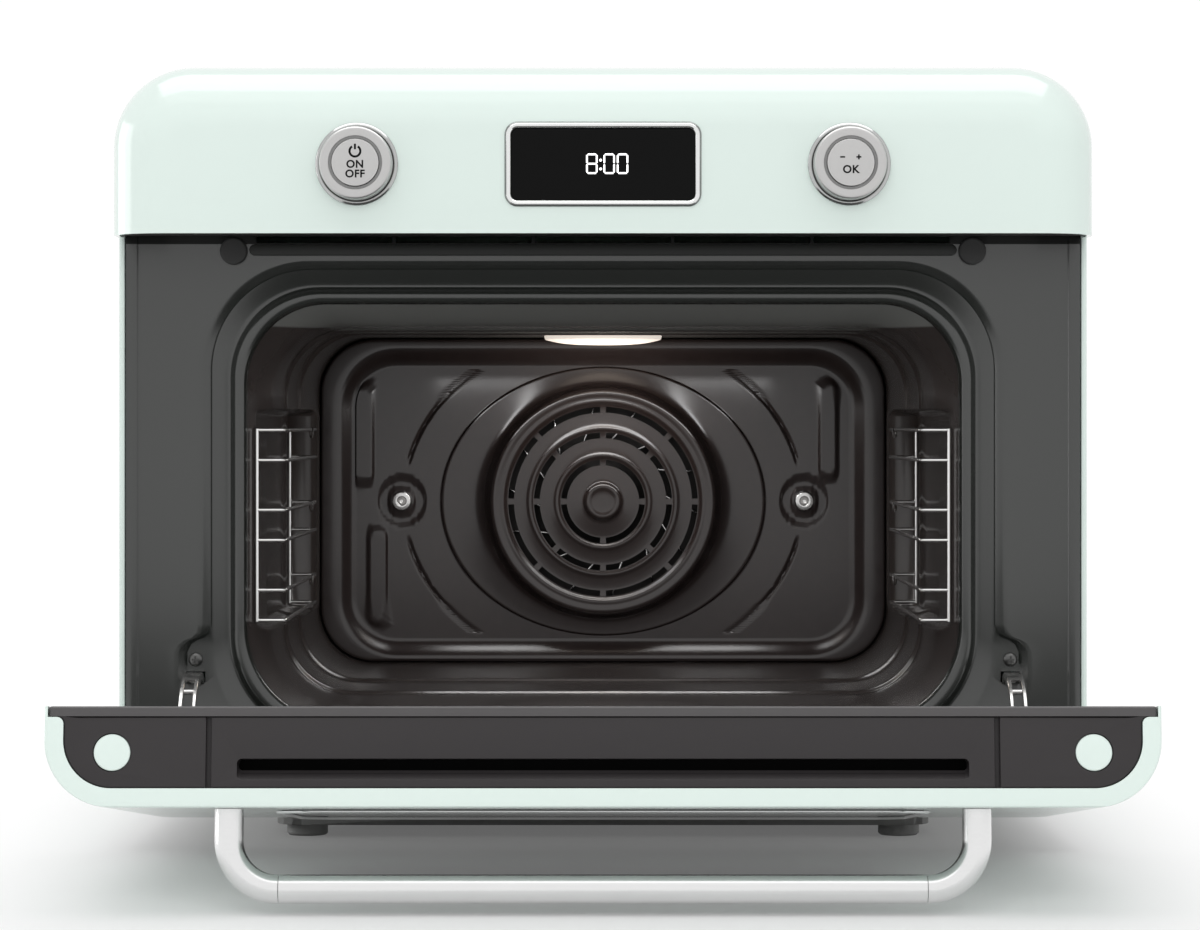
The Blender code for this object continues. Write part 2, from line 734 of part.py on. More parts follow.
def plinth():
    middle = (PLINTH_FRONT + PLINTH_BACK) / 2
    half_depth = (PLINTH_BACK - PLINTH_FRONT) / 2
    outer = rounded_box(PLINTH_WIDTH / 2, half_depth, PLINTH_RADIUS, (0, middle))
    inner = rounded_box(
        PLINTH_WIDTH / 2 - PLINTH_WALL, half_depth - PLINTH_WALL, PLINTH_RADIUS - PLINTH_WALL, (0, middle)
    )
    base = plate("plinth", [outer], FOOT_HEIGHT, BODY_BOTTOM - GAP, DARK_PLASTIC, along="z")
    hollow = plate("plinth_hollow", [inner], FOOT_HEIGHT + PLINTH_WALL, BODY_BOTTOM + PLINTH_WALL,
                   helper=True, along="z")
    cut(base, hollow)


def feet():
    profile = [
        (0, FOOT_HEIGHT - GAP), (FOOT_RADIUS, FOOT_HEIGHT - GAP), (FOOT_RADIUS, 0.001),
        (FOOT_RADIUS - 0.001, 0), (0, 0),
    ]
    for side, sign in (("left", -1), ("right", 1)):
        for end, depth in (("front", PLINTH_FRONT + FOOT_INSET), ("rear", PLINTH_BACK - FOOT_INSET)):
            x = sign * (PLINTH_WIDTH / 2 - FOOT_INSET)
            turned(f"foot_{end}_{side}", profile, RUBBER, place=(x, depth, 0), front=False, steps=16)


# Control panel

def control_panel():
    panel = rounded_front("control_panel", PANEL_FRONT, -GAP, PANEL_BOTTOM, HEIGHT, 0, True, material=MINT)
    hollow = rounded_front(
        "panel_hollow", PANEL_FRONT, PANEL_WALL, PANEL_BOTTOM - PANEL_WALL, HEIGHT - PANEL_WALL,
        PANEL_WALL, True, helper=True,
    )
    holes = bmesh.new()
    for sign in (-1, 1):
        add_cylinder(holes, (sign * KNOB_X, PANEL_FRONT - PANEL_WALL, CONTROLS_Z), (0, 1, 0),
                     KNOB_RADIUS + KNOB_WALL, 3 * PANEL_WALL, 28)
    knob_holes = from_bmesh("knob_holes", holes, helper=True)
    neck = TRIM_RING / 2
    display_hole = plate(
        "display_hole", [display_outline(neck - GAP)], PANEL_FRONT - PANEL_WALL,
        PANEL_FRONT + 2 * PANEL_WALL, helper=True,
    )
    cut(panel, hollow, knob_holes, display_hole)


def panel_base():
    """Dark plate that closes the panel's underside."""
    low = PANEL_BOTTOM + BASE_RECESS
    outline = plan(PANEL_FRONT, -GAP, PANEL_WALL + GAP)
    plate("panel_base", [outline], low, low + BASE_SHEET, DARK_PLASTIC, along="z")


def display_outline(offset):
    return rounded_box(
        DISPLAY_WIDTH / 2 - offset, DISPLAY_HEIGHT / 2 - offset, DISPLAY_RADIUS - offset, (0, CONTROLS_Z)
    )


def display():
    """Trim ring with a neck through the panel, the dark glass in it, and the module behind."""
    front = PANEL_FRONT - TRIM_PROUD
    seat = PANEL_FRONT - GAP
    neck = TRIM_RING / 2
    back = PANEL_FRONT + PANEL_WALL + GLASS_DEPTH
    section = [
        (TRIM_RING, front + 0.0004), (TRIM_RING - 0.0005, front), (0.0008, front), (0, front + 0.0007),
        (0, seat), (neck, seat), (neck, back), (TRIM_RING, back),
    ]
    loft("display_trim", [at_depth(display_outline(o), d) for o, d in section], CHROME, loop=True)
    glass_front = PANEL_FRONT - GAP
    plate("display_glass", [display_outline(TRIM_RING + GAP)], glass_front, glass_front + GLASS_DEPTH,
          BLACK_GLASS)
    plate("display_module", [display_outline(TRIM_RING + 2 * GAP)], glass_front + GLASS_DEPTH + GAP,
          PANEL_FRONT + BOARD_DEPTH - GAP, DARK_PLASTIC)


def control_board():
    front = PANEL_FRONT + BOARD_DEPTH
    box(
        "control_board", (-BOARD_WIDTH / 2, front, CONTROLS_Z - BOARD_HEIGHT / 2),
        (BOARD_WIDTH / 2, front + BOARD_SHEET, CONTROLS_Z + BOARD_HEIGHT / 2), BOARD,
    )
    carrier_front = front + BOARD_SHEET + GAP
    inset = PANEL_WALL + GAP + edge_inset(BOARD_DEPTH, PANEL_WALL + GAP)
    low = PANEL_BOTTOM + BASE_RECESS + BASE_SHEET + GAP
    plate("board_carrier", [arch(inset, low)], carrier_front, carrier_front + CARRIER_SHEET, DARK_PLASTIC)


def knob_parts(side, sign):
    """Bezel and encoder, fixed; the knob that turns on the encoder's bushing; the button through both."""
    axis = new_frame(f"knob_{side}_axis", (sign * KNOB_X, PANEL_FRONT, CONTROLS_Z), CABINET)
    bore = KNOB_RADIUS + GAP
    neck = KNOB_RADIUS + KNOB_WALL - GAP
    bezel_back = -(PANEL_WALL + 0.003)
    turned(f"bezel_{side}", [
        (bore, BEZEL_PROUD), (bore + 0.0008, BEZEL_PROUD), (BEZEL_RADIUS, BEZEL_PROUD - 0.001),
        (BEZEL_RADIUS, GAP), (neck, GAP), (neck, bezel_back), (bore, bezel_back),
    ], CHROME, axis)
    # In the profiles below, heights run forward from the panel's face.
    encoder_front = ENCODER_DEPTH + GAP - BOARD_DEPTH
    hub_back = encoder_front + RUNNING
    floor = KNOB_PROUD - 0.006
    button_bore = BUTTON_RADIUS + GAP
    sleeve = BUSHING_RADIUS + GAP
    hub = sleeve + KNOB_WALL
    turned(f"knob_{side}", [
        (KNOB_RING_RADIUS, KNOB_PROUD), (KNOB_RADIUS - 0.0012, KNOB_PROUD),
        (KNOB_RADIUS, KNOB_PROUD - 0.0012), (KNOB_RADIUS, -0.001), (KNOB_RADIUS - KNOB_WALL, -0.001),
        (KNOB_RADIUS - KNOB_WALL, floor - KNOB_WALL),
        (hub, floor - KNOB_WALL), (hub, hub_back), (sleeve, hub_back), (sleeve, floor),
        (button_bore, floor), (button_bore, KNOB_PROUD - 0.0008), (KNOB_RING_RADIUS, KNOB_PROUD - 0.0008),
    ], STEEL, axis)
    bushing_front = floor - BUTTON_TRAVEL - 2 * GAP
    stem_bore = STEM_RADIUS + GAP
    stem_back = encoder_front + BUTTON_TRAVEL + GAP
    under = floor + BUTTON_TRAVEL + GAP
    turned(f"button_{side}", [
        (0, KNOB_PROUD + 0.0005), (BUTTON_RADIUS - 0.0005, KNOB_PROUD + 0.0005), (BUTTON_RADIUS, KNOB_PROUD),
        (BUTTON_RADIUS, under), (STEM_RADIUS, under), (STEM_RADIUS, stem_back), (0, stem_back),
    ], STEEL, axis)
    encoder = turned(f"encoder_{side}", [
        (stem_bore, bushing_front), (BUSHING_RADIUS, bushing_front), (BUSHING_RADIUS, encoder_front - 0.001),
        (stem_bore, encoder_front - 0.001),
    ], PLATED_STEEL, axis)
    half = ENCODER_SIZE / 2
    body = box(
        f"encoder_body_{side}", (-half, -encoder_front, -half), (half, BOARD_DEPTH - GAP, half),
        parent=axis, helper=True,
    )
    join(encoder, body)


# Facade

def facade_outline(offset):
    """The facade's own outline; the lower corners are nearly square."""
    edge = INNER_HALF - offset
    high = HEIGHT - CASING_WALL - GAP - offset
    radius = CORNER_RADIUS - CASING_WALL - GAP - offset
    low = BODY_BOTTOM + offset
    side = [(FLARE_HIGH, edge), (FLARE_HIGH - FLARE_SLOPE, edge)]
    return rounded(edge, low, high, 0.004, radius, 7, side)


def mouth_ring(out, depth):
    half = MOUTH_HALF + out
    low = MOUTH_LOW - out
    radius = MOUTH_RADIUS_LOW + out * LOW_SHARE
    side = [(low + radius + 0.006, half), (low + radius + 0.003, half)]
    upper = MOUTH_RADIUS_HIGH + out * HIGH_SHARE
    return at_depth(rounded(half, low, MOUTH_HIGH + out, radius, upper, 7, side), depth)


def step_ring(out, depth):
    """The pressed step; below FLARE_HIGH it swings out past the hinge."""
    half = MOUTH_HALF + out
    wide = half + FLARE_OUT
    low = MOUTH_LOW - out
    radius = MOUTH_RADIUS_LOW - FLARE_OUT + out * LOW_SHARE
    upper = MOUTH_RADIUS_HIGH + out * HIGH_SHARE
    points = rounded(half, low, MOUTH_HIGH + out, 0.001, upper, 7)[:16]
    points += [(-half, FLARE_HIGH), (-wide, FLARE_HIGH - FLARE_SLOPE)]
    points += corner((radius - wide, low + radius), radius, 180, 7)
    points += corner((wide - radius, low + radius), radius, 270, 7)
    points += [(wide, FLARE_HIGH - FLARE_SLOPE), (half, FLARE_HIGH)]
    return at_depth(points, depth)


def facade():
    """Pressed front plate: folded edge, raised rim, a step round the mouth, and the mouth's rolled lip."""
    flat = RIM_STEP
    low = RIM_STEP + STEP_DEPTH
    rings = [
        at_depth(facade_outline(0), FACADE_RETURN),
        at_depth(facade_outline(0), 0.0008),
        at_depth(facade_outline(0.0008), 0),
        at_depth(facade_outline(RIM - 0.001), 0),
        at_depth(facade_outline(RIM), flat),
        step_ring(STEP_OUT, flat),
        step_ring(STEP_OUT - STEP_WIDTH, low),
        mouth_ring(0.007, low + 0.0015),
        mouth_ring(0.0035, low + 0.0003),
        mouth_ring(0.0010, low + 0.0018),
        mouth_ring(0, low + 0.0045),
        mouth_ring(0, MOUTH_DEPTH),
    ]
    sheet = loft("facade", rings, DARK_ENAMEL, caps=False)
    thicken(sheet, SHEET)
    cut(sheet, facade_holes())


def facade_holes():
    bm = bmesh.new()
    pitch = (2 * VENT_HALF + VENT_RIB) / VENT_COUNT
    for i in range(VENT_COUNT):
        x = (i - (VENT_COUNT - 1) / 2) * pitch
        half = (pitch - VENT_RIB) / 2
        add_box(bm, (x - half, -0.002, VENT_LOW), (x + half, 0.008, VENT_LOW + VENT_HEIGHT))
    inner = ARM_RADIUS - ARM_HEIGHT
    depth = HINGE_FORWARD + RIM_STEP + STEP_DEPTH + 2 * SHEET
    arm_low = HINGE_Z + math.sqrt(inner ** 2 - depth ** 2) - RUNNING
    arm_high = HINGE_Z + math.sqrt(ARM_RADIUS ** 2 - HINGE_FORWARD ** 2) + RUNNING
    for sign in (-1, 1):
        half = ARM_WIDTH / 2 + RUNNING
        add_box(bm, (sign * ARM_X - half, -0.002, arm_low), (sign * ARM_X + half, 0.025, arm_high))
        lug = sign * (LUG_X + LUG_SHEET / 2)
        half = LUG_SHEET / 2 + GAP
        reach = LUG_RADIUS + GAP
        add_box(bm, (lug - half, -0.002, HINGE_Z - reach), (lug + half, 0.025, HINGE_Z + reach))
        add_cylinder(bm, (sign * BUMPER_X, -0.002, BUMPER_Z), (0, 1, 0), BUMPER_RADIUS / 2 + GAP, 0.008, 12)
        add_cylinder(bm, (sign * ARM_X, -0.002, HINGE_SCREW_Z), (0, 1, 0), SCREW_SHANK + GAP, 0.012, 10)
    return from_bmesh("facade_holes", bm, helper=True)


def air_deflector():
    middle = VENT_LOW - 0.0006 - DEFLECTOR_HEIGHT / 2
    outline = slot((0, middle), DEFLECTOR_HALF, DEFLECTOR_HEIGHT / 2)
    back = RIM_STEP - GAP
    plate("air_deflector", [outline], back - DEFLECTOR_PROUD, back, DARK_ENAMEL)


def bumpers():
    """Rubber buffers that the closed door meets; each has a stem through the facade."""
    front = DOOR_GAP - 0.0004
    stem = BUMPER_RADIUS / 2
    seat = -(RIM_STEP - GAP)
    profile = [
        (0, front), (BUMPER_RADIUS - 0.0015, front), (BUMPER_RADIUS, front - 0.0012), (BUMPER_RADIUS, seat),
        (stem, seat), (stem, seat - 0.005), (0, seat - 0.005),
    ]
    for side, sign in (("left", -1), ("right", 1)):
        turned(f"door_bumper_{side}", profile, RUBBER, place=(sign * BUMPER_X, 0, BUMPER_Z), steps=16)


# Cavity and side racks

def blend(start, end, share):
    return start + (end - start) * share


def cavity_ring(depth, inward=0.0, alcove=None):
    """The cavity's section: a slow taper from the funnel to the rear wall."""
    share = (depth - CAVITY_START) / (CAVITY_DEPTH - CAVITY_START)
    half = blend(CAVITY_HALF, REAR_HALF, share) - inward
    low = blend(CAVITY_LOW, REAR_LOW, share) + inward
    high = blend(CAVITY_HIGH, REAR_HIGH, share) - inward
    radius = blend(CAVITY_RADIUS, REAR_RADIUS, share)
    return section_ring(depth, half, low, high, radius, radius, half if alcove is None else alcove)


def section_ring(depth, half, low, high, radius_low, radius_high, alcove):
    foot = max(ALCOVE_LOW, low + radius_low + 0.001)
    side = [
        (ALCOVE_HIGH, half), (ALCOVE_HIGH - ALCOVE_SLOPE, alcove), (foot + ALCOVE_SLOPE, alcove),
        (foot, half),
    ]
    return at_depth(rounded(half, low, high, radius_low, radius_high, 5, side), depth)


def cavity():
    """Enamelled liner with two ridges pressed round it and an alcove for the racks in each side."""
    start = MOUTH_DEPTH + GAP
    rings = [
        section_ring(start, MOUTH_HALF, MOUTH_LOW, MOUTH_HIGH, MOUTH_RADIUS_LOW, MOUTH_RADIUS_HIGH,
                     MOUTH_HALF),
        section_ring(start + 0.006, MOUTH_HALF - 0.0015, MOUTH_LOW + 0.001, MOUTH_HIGH - 0.003,
                     MOUTH_RADIUS_LOW - 0.006, MOUTH_RADIUS_HIGH - 0.002, ALCOVE_HALF),
        cavity_ring(CAVITY_START, 0, ALCOVE_HALF),
    ]
    for ridge in RIDGES:
        for along, rise in ((-0.5, 0), (-0.18, RIDGE_HEIGHT), (0.18, RIDGE_HEIGHT), (0.5, 0)):
            rings.append(cavity_ring(ridge + along * RIDGE_WIDTH, rise, ALCOVE_HALF))
    rings.append(cavity_ring(ALCOVE_END, 0, ALCOVE_HALF))
    rings.append(cavity_ring(ALCOVE_END + 0.008))
    rings.append(cavity_ring(CAVITY_DEPTH - 0.006))
    rings.append(cavity_ring(CAVITY_DEPTH, 0.006))
    shaft_hole = []
    for x, depth, z in rings[-1]:
        angle = math.atan2(z - FAN_Z, x)
        reach = SHAFT_RADIUS * 2.5
        shaft_hole.append((reach * math.cos(angle), depth, FAN_Z + reach * math.sin(angle)))
    rings.append(shaft_hole)
    liner = loft("cavity", rings, CAVITY_ENAMEL, caps=False)
    thicken(liner, SHEET)
    bosses = bmesh.new()
    holes = bmesh.new()
    for sign in (-1, 1):
        add_cylinder(bosses, (sign * COVER_SCREW_X, boss_front(), FAN_Z), (0, 1, 0),
                     COVER_SCREW_RADIUS - 0.001, CAVITY_DEPTH + SHEET / 2 - boss_front(), 12)
        add_cylinder(holes, (sign * COVER_SCREW_X, boss_front() - 0.002, FAN_Z), (0, 1, 0),
                     SCREW_SHANK + GAP, CAVITY_DEPTH - COVER_DEPTH - CUTTER_LEAD, 10)
        add_cylinder(
            holes, (sign * TERMINAL_SPREAD, CAVITY_DEPTH - CUTTER_LEAD / 2, FAN_Z - RING_HEATER_RADIUS),
            (0, 1, 0), HEATER_TUBE + GAP, CUTTER_LEAD, 12,
        )
    add_cylinder(holes, (0, LAMP_DEPTH, REAR_HIGH - CUTTER_LEAD), (0, 0, 1), LAMP_HOLE, 2 * CUTTER_LEAD, 24)
    join(liner, from_bmesh("cover_bosses", bosses, helper=True))
    cut(liner, from_bmesh("liner_holes", holes, helper=True))


def boss_front():
    return COVER_DEPTH + COVER_PANEL_DEPTH + COVER_SHEET + GAP


def side_rack(side, sign):
    """Two upright wires carry six bent rungs; the upper rung of each pair dips to stop a tray."""
    upright = sign * (ALCOVE_HALF - GAP - RACK_WIRE)
    inner = upright - sign * RUNG_REACH
    rear = RACK_FRONT + RACK_DEPTH
    over = RUNG_WIRE * 0.6
    ends = ((upright, RACK_FRONT), (upright, rear))
    posts = [
        tube(f"rack_post_{i}_{side}", [(x, depth, LAST_RUNG - over), (x, depth, RACK_TOP + over)],
             RACK_WIRE, helper=i > 0, material=STEEL, resolution=1)
        for i, (x, depth) in enumerate(ends)
    ]
    rack = posts[0]
    rack.name = f"side_rack_{side}"
    join(rack, posts[1])
    for pair in range(3):
        for row in range(2):
            z = RACK_TOP - pair * RUNG_PITCH - row * RUNG_PAIR
            rung = [(upright, RACK_FRONT, z), (inner, RACK_FRONT, z)]
            if row == 0:
                dip = rear - STOP_AHEAD
                rung += [(inner, dip - STOP_HALF, z), (inner, dip, z - STOP_DIP)]
                rung += [(inner, dip + STOP_HALF, z)]
            rung += [(inner, rear, z), (upright, rear, z)]
            bends = fillet_path(rung, RUNG_BEND, 1)
            join(rack, tube(f"rung_{pair}_{row}_{side}", bends, RUNG_WIRE, helper=True, resolution=1))


# Fan cover, fan, heaters and lamp

COVER_ANGLES = 32


def cover_ring(shape, depth):
    return at_depth([shape(math.tau * (i + 0.5) / COVER_ANGLES) for i in range(COVER_ANGLES)], depth)


def cover_rectangle(half, low, high, radius):
    def shape(angle):
        x = math.copysign(half - radius, math.cos(angle)) + radius * math.cos(angle)
        z = radius * math.sin(angle)
        z += high - radius if math.sin(angle) > 0 else low + radius
        return x, z
    return shape


def cover_ellipse(half_x, half_z):
    return lambda angle: (half_x * math.cos(angle), FAN_Z + half_z * math.sin(angle))


def fan_cover():
    """Rear plate of the cavity: sunk panel, oval dish and, over the fan, a ringed grille."""
    share = (COVER_DEPTH - CAVITY_START) / (CAVITY_DEPTH - CAVITY_START)
    edge = 2 * GAP
    half = blend(CAVITY_HALF, REAR_HALF, share) - edge
    low = blend(CAVITY_LOW, REAR_LOW, share) + edge
    high = blend(CAVITY_HIGH, REAR_HIGH, share) - edge
    radius = blend(CAVITY_RADIUS, REAR_RADIUS, share)
    panel = COVER_DEPTH + COVER_PANEL_DEPTH
    crest = panel - GRILLE_RISE
    dip = crest + GRILLE_DIP
    rings = [
        cover_ring(cover_rectangle(half, low, high, radius), COVER_DEPTH + 0.003),
        cover_ring(cover_rectangle(half - 0.0015, low + 0.0015, high - 0.0015, radius - 0.0015),
                   COVER_DEPTH),
        cover_ring(cover_rectangle(COVER_PANEL_HALF, COVER_PANEL_LOW, COVER_PANEL_HIGH,
                                   COVER_PANEL_RADIUS), COVER_DEPTH),
        cover_ring(cover_rectangle(COVER_PANEL_HALF - 0.004, COVER_PANEL_LOW + 0.004,
                                   COVER_PANEL_HIGH - 0.004, COVER_PANEL_RADIUS - 0.004), panel),
        cover_ring(cover_ellipse(DISH_HALF_X, DISH_HALF_Z), panel),
        cover_ring(cover_ellipse(DISH_HALF_X - 0.003, DISH_HALF_Z - 0.002), panel - DISH_RISE),
        cover_ring(cover_ellipse(GRILLE_RADIUS, GRILLE_RADIUS), panel - DISH_RISE - 0.004),
        cover_ring(cover_ellipse(GRILLE_RADIUS - 0.004, GRILLE_RADIUS - 0.004), crest),
        cover_ring(cover_ellipse(SLOT_RADII[0] + 0.0075, SLOT_RADII[0] + 0.0075), crest),
    ]
    for slot_radius, next_radius in zip(SLOT_RADII, SLOT_RADII[1:] + (HUB_RADIUS - 0.006,)):
        crown = (slot_radius + next_radius) / 2
        rings.append(cover_ring(cover_ellipse(slot_radius, slot_radius), dip))
        rings.append(cover_ring(cover_ellipse(crown, crown), dip - GRILLE_DIP * 0.6))
    cover = loft("fan_cover", rings, CAVITY_ENAMEL, caps=False)
    close_centre(cover)
    thicken(cover, COVER_SHEET)
    hub = cylinder("cover_hub", (0, dip - GRILLE_DIP - 0.001, FAN_Z), (0, 1, 0), HUB_RADIUS, 0.005,
                   helper=True, segments=24)
    join(cover, hub)
    cut(cover, grille_slots(crest - 0.003, dip + 0.004), cover_screw_holes(panel))


def close_centre(obj):
    """Fills the small ring left at the middle of the cover."""
    bm = bmesh.new()
    bm.from_mesh(obj.data)
    edges = [edge for edge in bm.edges if edge.is_boundary]
    edges = [edge for edge in edges if (edge.verts[0].co.xz - Vector((0, FAN_Z))).length < SLOT_RADII[-1]]
    bmesh.ops.contextual_create(bm, geom=edges)
    bmesh.ops.recalc_face_normals(bm, faces=bm.faces)
    if sum(face.normal.y for face in bm.faces) > 0:
        bmesh.ops.reverse_faces(bm, faces=bm.faces)
    bm.to_mesh(obj.data)
    bm.free()


def grille_slots(front, back):
    """Arc-shaped cutters, a ring of them at each slot radius."""
    bm = bmesh.new()
    for radius, count in zip(SLOT_RADII, SLOT_COUNTS):
        steps = 4 if count == 8 else 6
        bridge = SLOT_BRIDGE / radius
        for i in range(count):
            middle = math.tau * (i + 0.5) / count
            sweep = math.tau / count - bridge
            add_sector(bm, radius, SLOT_WIDTH, middle - sweep / 2, middle + sweep / 2, front, back, steps)
    return from_bmesh("grille_slots", bm, helper=True)


def add_sector(bm, radius, width, start, end, front, back, steps):
    """A bent bar round the fan's axis."""
    rows = []
    for i in range(steps + 1):
        angle = start + (end - start) * i / steps
        row = []
        for reach, depth in (
            (radius - width / 2, front), (radius + width / 2, front),
            (radius + width / 2, back), (radius - width / 2, back),
        ):
            row.append(bm.verts.new((reach * math.cos(angle), depth, FAN_Z + reach * math.sin(angle))))
        rows.append(row)
    for near, far in zip(rows, rows[1:]):
        for i in range(4):
            j = (i + 1) % 4
            bm.faces.new((near[i], near[j], far[j], far[i]))
    bm.faces.new(rows[0])
    bm.faces.new(rows[-1])


def cover_screw_holes(panel):
    bm = bmesh.new()
    for sign in (-1, 1):
        add_cylinder(bm, (sign * COVER_SCREW_X, panel - 0.004, FAN_Z), (0, 1, 0), SCREW_SHANK + GAP,
                     0.008, 10)
    return from_bmesh("cover_screw_holes", bm, helper=True)


def screw(name, place, radius, height, length):
    """A screw with a low round head; its shank runs back."""
    turned(name, [
        (0, height), (radius * 0.6, height * 0.9), (radius, height * 0.45), (radius, GAP),
        (SCREW_SHANK, GAP), (SCREW_SHANK, -length), (0, -length),
    ], STEEL, place=place, steps=10)


def fan():
    """Impeller with bent blades, on the shaft that the motor turns."""
    disc = cylinder("fan_impeller", (0, 0, 0), (0, 1, 0), FAN_RADIUS, COVER_SHEET, STEEL, FAN, segments=28)
    bore = bmesh.new()
    add_cylinder(bore, (0, -2 * HUB_LENGTH, 0), (0, 1, 0), SHAFT_RADIUS + GAP, 4 * HUB_LENGTH, 12)
    blades = bmesh.new()
    for i in range(FAN_BLADES):
        angle = math.tau * i / FAN_BLADES
        middle = FAN_RADIUS - BLADE_LENGTH / 2 - 0.001
        place = Matrix.Rotation(angle, 4, "Y") @ Matrix.Translation((middle, 0, 0))
        place = place @ Matrix.Rotation(math.radians(BLADE_TURN), 4, "Y")
        size = Matrix.Diagonal((BLADE_LENGTH, BLADE_HEIGHT, COVER_SHEET, 1))
        shift = Matrix.Translation((0, -BLADE_HEIGHT / 2 + COVER_SHEET / 2, 0))
        bmesh.ops.create_cube(blades, size=1, matrix=place @ shift @ size)
    hub = cylinder("fan_hub", (0, -HUB_LENGTH + COVER_SHEET / 2, 0), (0, 1, 0), SHAFT_RADIUS + 0.003,
                   HUB_LENGTH, parent=FAN, helper=True, segments=16)
    join(disc, from_bmesh("fan_blades", blades, parent=FAN, helper=True), hub)
    cut(disc, from_bmesh("fan_bore", bore, parent=FAN, helper=True))
    reach = CAVITY_DEPTH + MOTOR_LENGTH * 0.6 - FAN_DEPTH
    cylinder("fan_shaft", (0, -HUB_LENGTH, 0), (0, 1, 0), SHAFT_RADIUS, HUB_LENGTH + reach, PLATED_STEEL,
             FAN, segments=12)


def fan_motor():
    front = CAVITY_DEPTH + SHEET + GAP
    half = MOTOR_PLATE / 2
    outline = rounded_box(half, half * 0.55, 0.008, (0, FAN_Z))
    body = plate("fan_motor", [outline], front, front + 0.002, PLATED_STEEL)
    can = cylinder("motor_can", (0, front + 0.001, FAN_Z), (0, 1, 0), MOTOR_RADIUS, MOTOR_LENGTH,
                   helper=True, segments=24)
    bore = cylinder("motor_bore", (0, front - 0.001, FAN_Z), (0, 1, 0), SHAFT_RADIUS + GAP,
                    MOTOR_LENGTH * 0.75, helper=True, segments=12)
    join(body, can)
    cut(body, bore)


def ring_heater():
    """Tube round the impeller; both ends turn back through the rear wall."""
    spread = math.asin(TERMINAL_SPREAD / RING_HEATER_RADIUS)
    start = -math.pi / 2 + spread
    sweep = math.tau - 2 * spread
    count = 30
    points = []
    for i in range(count + 1):
        angle = start + sweep * i / count
        x = RING_HEATER_RADIUS * math.cos(angle)
        points.append((x, RING_HEATER_DEPTH, FAN_Z + RING_HEATER_RADIUS * math.sin(angle)))
    back = CAVITY_DEPTH + TERMINAL_LENGTH
    foot = FAN_Z - RING_HEATER_RADIUS
    points[0] = (TERMINAL_SPREAD, RING_HEATER_DEPTH, foot)
    points[-1] = (-TERMINAL_SPREAD, RING_HEATER_DEPTH, foot)
    points = [(TERMINAL_SPREAD, back, foot)] + points + [(-TERMINAL_SPREAD, back, foot)]
    tube("ring_heater", points, HEATER_TUBE, PLATED_STEEL, resolution=1)


def flat_heater(name, z):
    """A bent tube that lies along the outside of the cavity, with its terminals to the back."""
    tail = HEATER_BACK + HEATER_TAIL
    corners = [
        (-HEATER_TAIL_X, tail, z), (-HEATER_TAIL_X, HEATER_BACK, z), (-HEATER_HALF, HEATER_BACK, z),
        (-HEATER_HALF, HEATER_FRONT, z), (HEATER_HALF, HEATER_FRONT, z), (HEATER_HALF, HEATER_BACK, z),
        (HEATER_TAIL_X, HEATER_BACK, z), (HEATER_TAIL_X, tail, z),
    ]
    tube(name, fillet_path(corners, HEATER_BEND, 3), HEATER_TUBE, PLATED_STEEL, resolution=1)


def heaters():
    ring_heater()
    flat_heater("top_heater", CAVITY_HIGH + SHEET + GAP + HEATER_TUBE)
    share = (HEATER_FRONT - HEATER_TUBE - CAVITY_START) / (CAVITY_DEPTH - CAVITY_START)
    floor = blend(CAVITY_LOW, REAR_LOW, share)
    flat_heater("bottom_heater", floor - SHEET - GAP / 2 - HEATER_TUBE * HEATER_FLAT)


def lamp():
    """Glass lens under the ceiling; a housing with the bulb stands above the hole."""
    share = (LAMP_DEPTH + LAMP_RADIUS - CAVITY_START) / (CAVITY_DEPTH - CAVITY_START)
    ceiling = blend(CAVITY_HIGH, REAR_HIGH, share) - GAP
    drop = LAMP_DROP
    neck = LAMP_HOLE - 2 * GAP
    turned("lamp_lens", [
        (0, ceiling - drop + 0.002), (neck - 0.004, ceiling - drop + 0.002), (neck - 0.003, ceiling + 0.003),
        (neck, ceiling + 0.003), (neck, ceiling), (LAMP_RADIUS, ceiling),
        (LAMP_RADIUS - 0.001, ceiling - 0.0022), (LAMP_RADIUS * 0.72, ceiling - drop * 0.85),
        (LAMP_RADIUS * 0.4, ceiling - drop), (0, ceiling - drop),
    ], LAMP_GLASS, place=(0, LAMP_DEPTH, 0), front=False, steps=28)
    base = CAVITY_HIGH + SHEET + GAP
    top = base + HOUSING_HEIGHT
    wall = 0.001
    outer = LAMP_HOLE + 0.002
    turned("lamp_housing", [
        (0, top), (outer, top), (outer, base + wall), (outer + 0.006, base + wall), (outer + 0.006, base),
        (outer - wall, base), (outer - wall, top - wall), (0, top - wall),
    ], PLATED_STEEL, place=(0, LAMP_DEPTH, 0), front=False, steps=24)
    turned("lamp_bulb", [
        (0, top - wall - GAP), (BULB_RADIUS, top - wall - GAP), (BULB_RADIUS, top - BULB_BASE),
        (BULB_RADIUS * 0.6, top - BULB_BASE * 1.2), (BULB_RADIUS * 0.6, top - BULB_LENGTH * 0.85),
        (BULB_RADIUS * 0.3, top - BULB_LENGTH * 0.98), (0, top - BULB_LENGTH),
    ], CERAMIC, place=(0, LAMP_DEPTH, 0), front=False, steps=16)


# Door

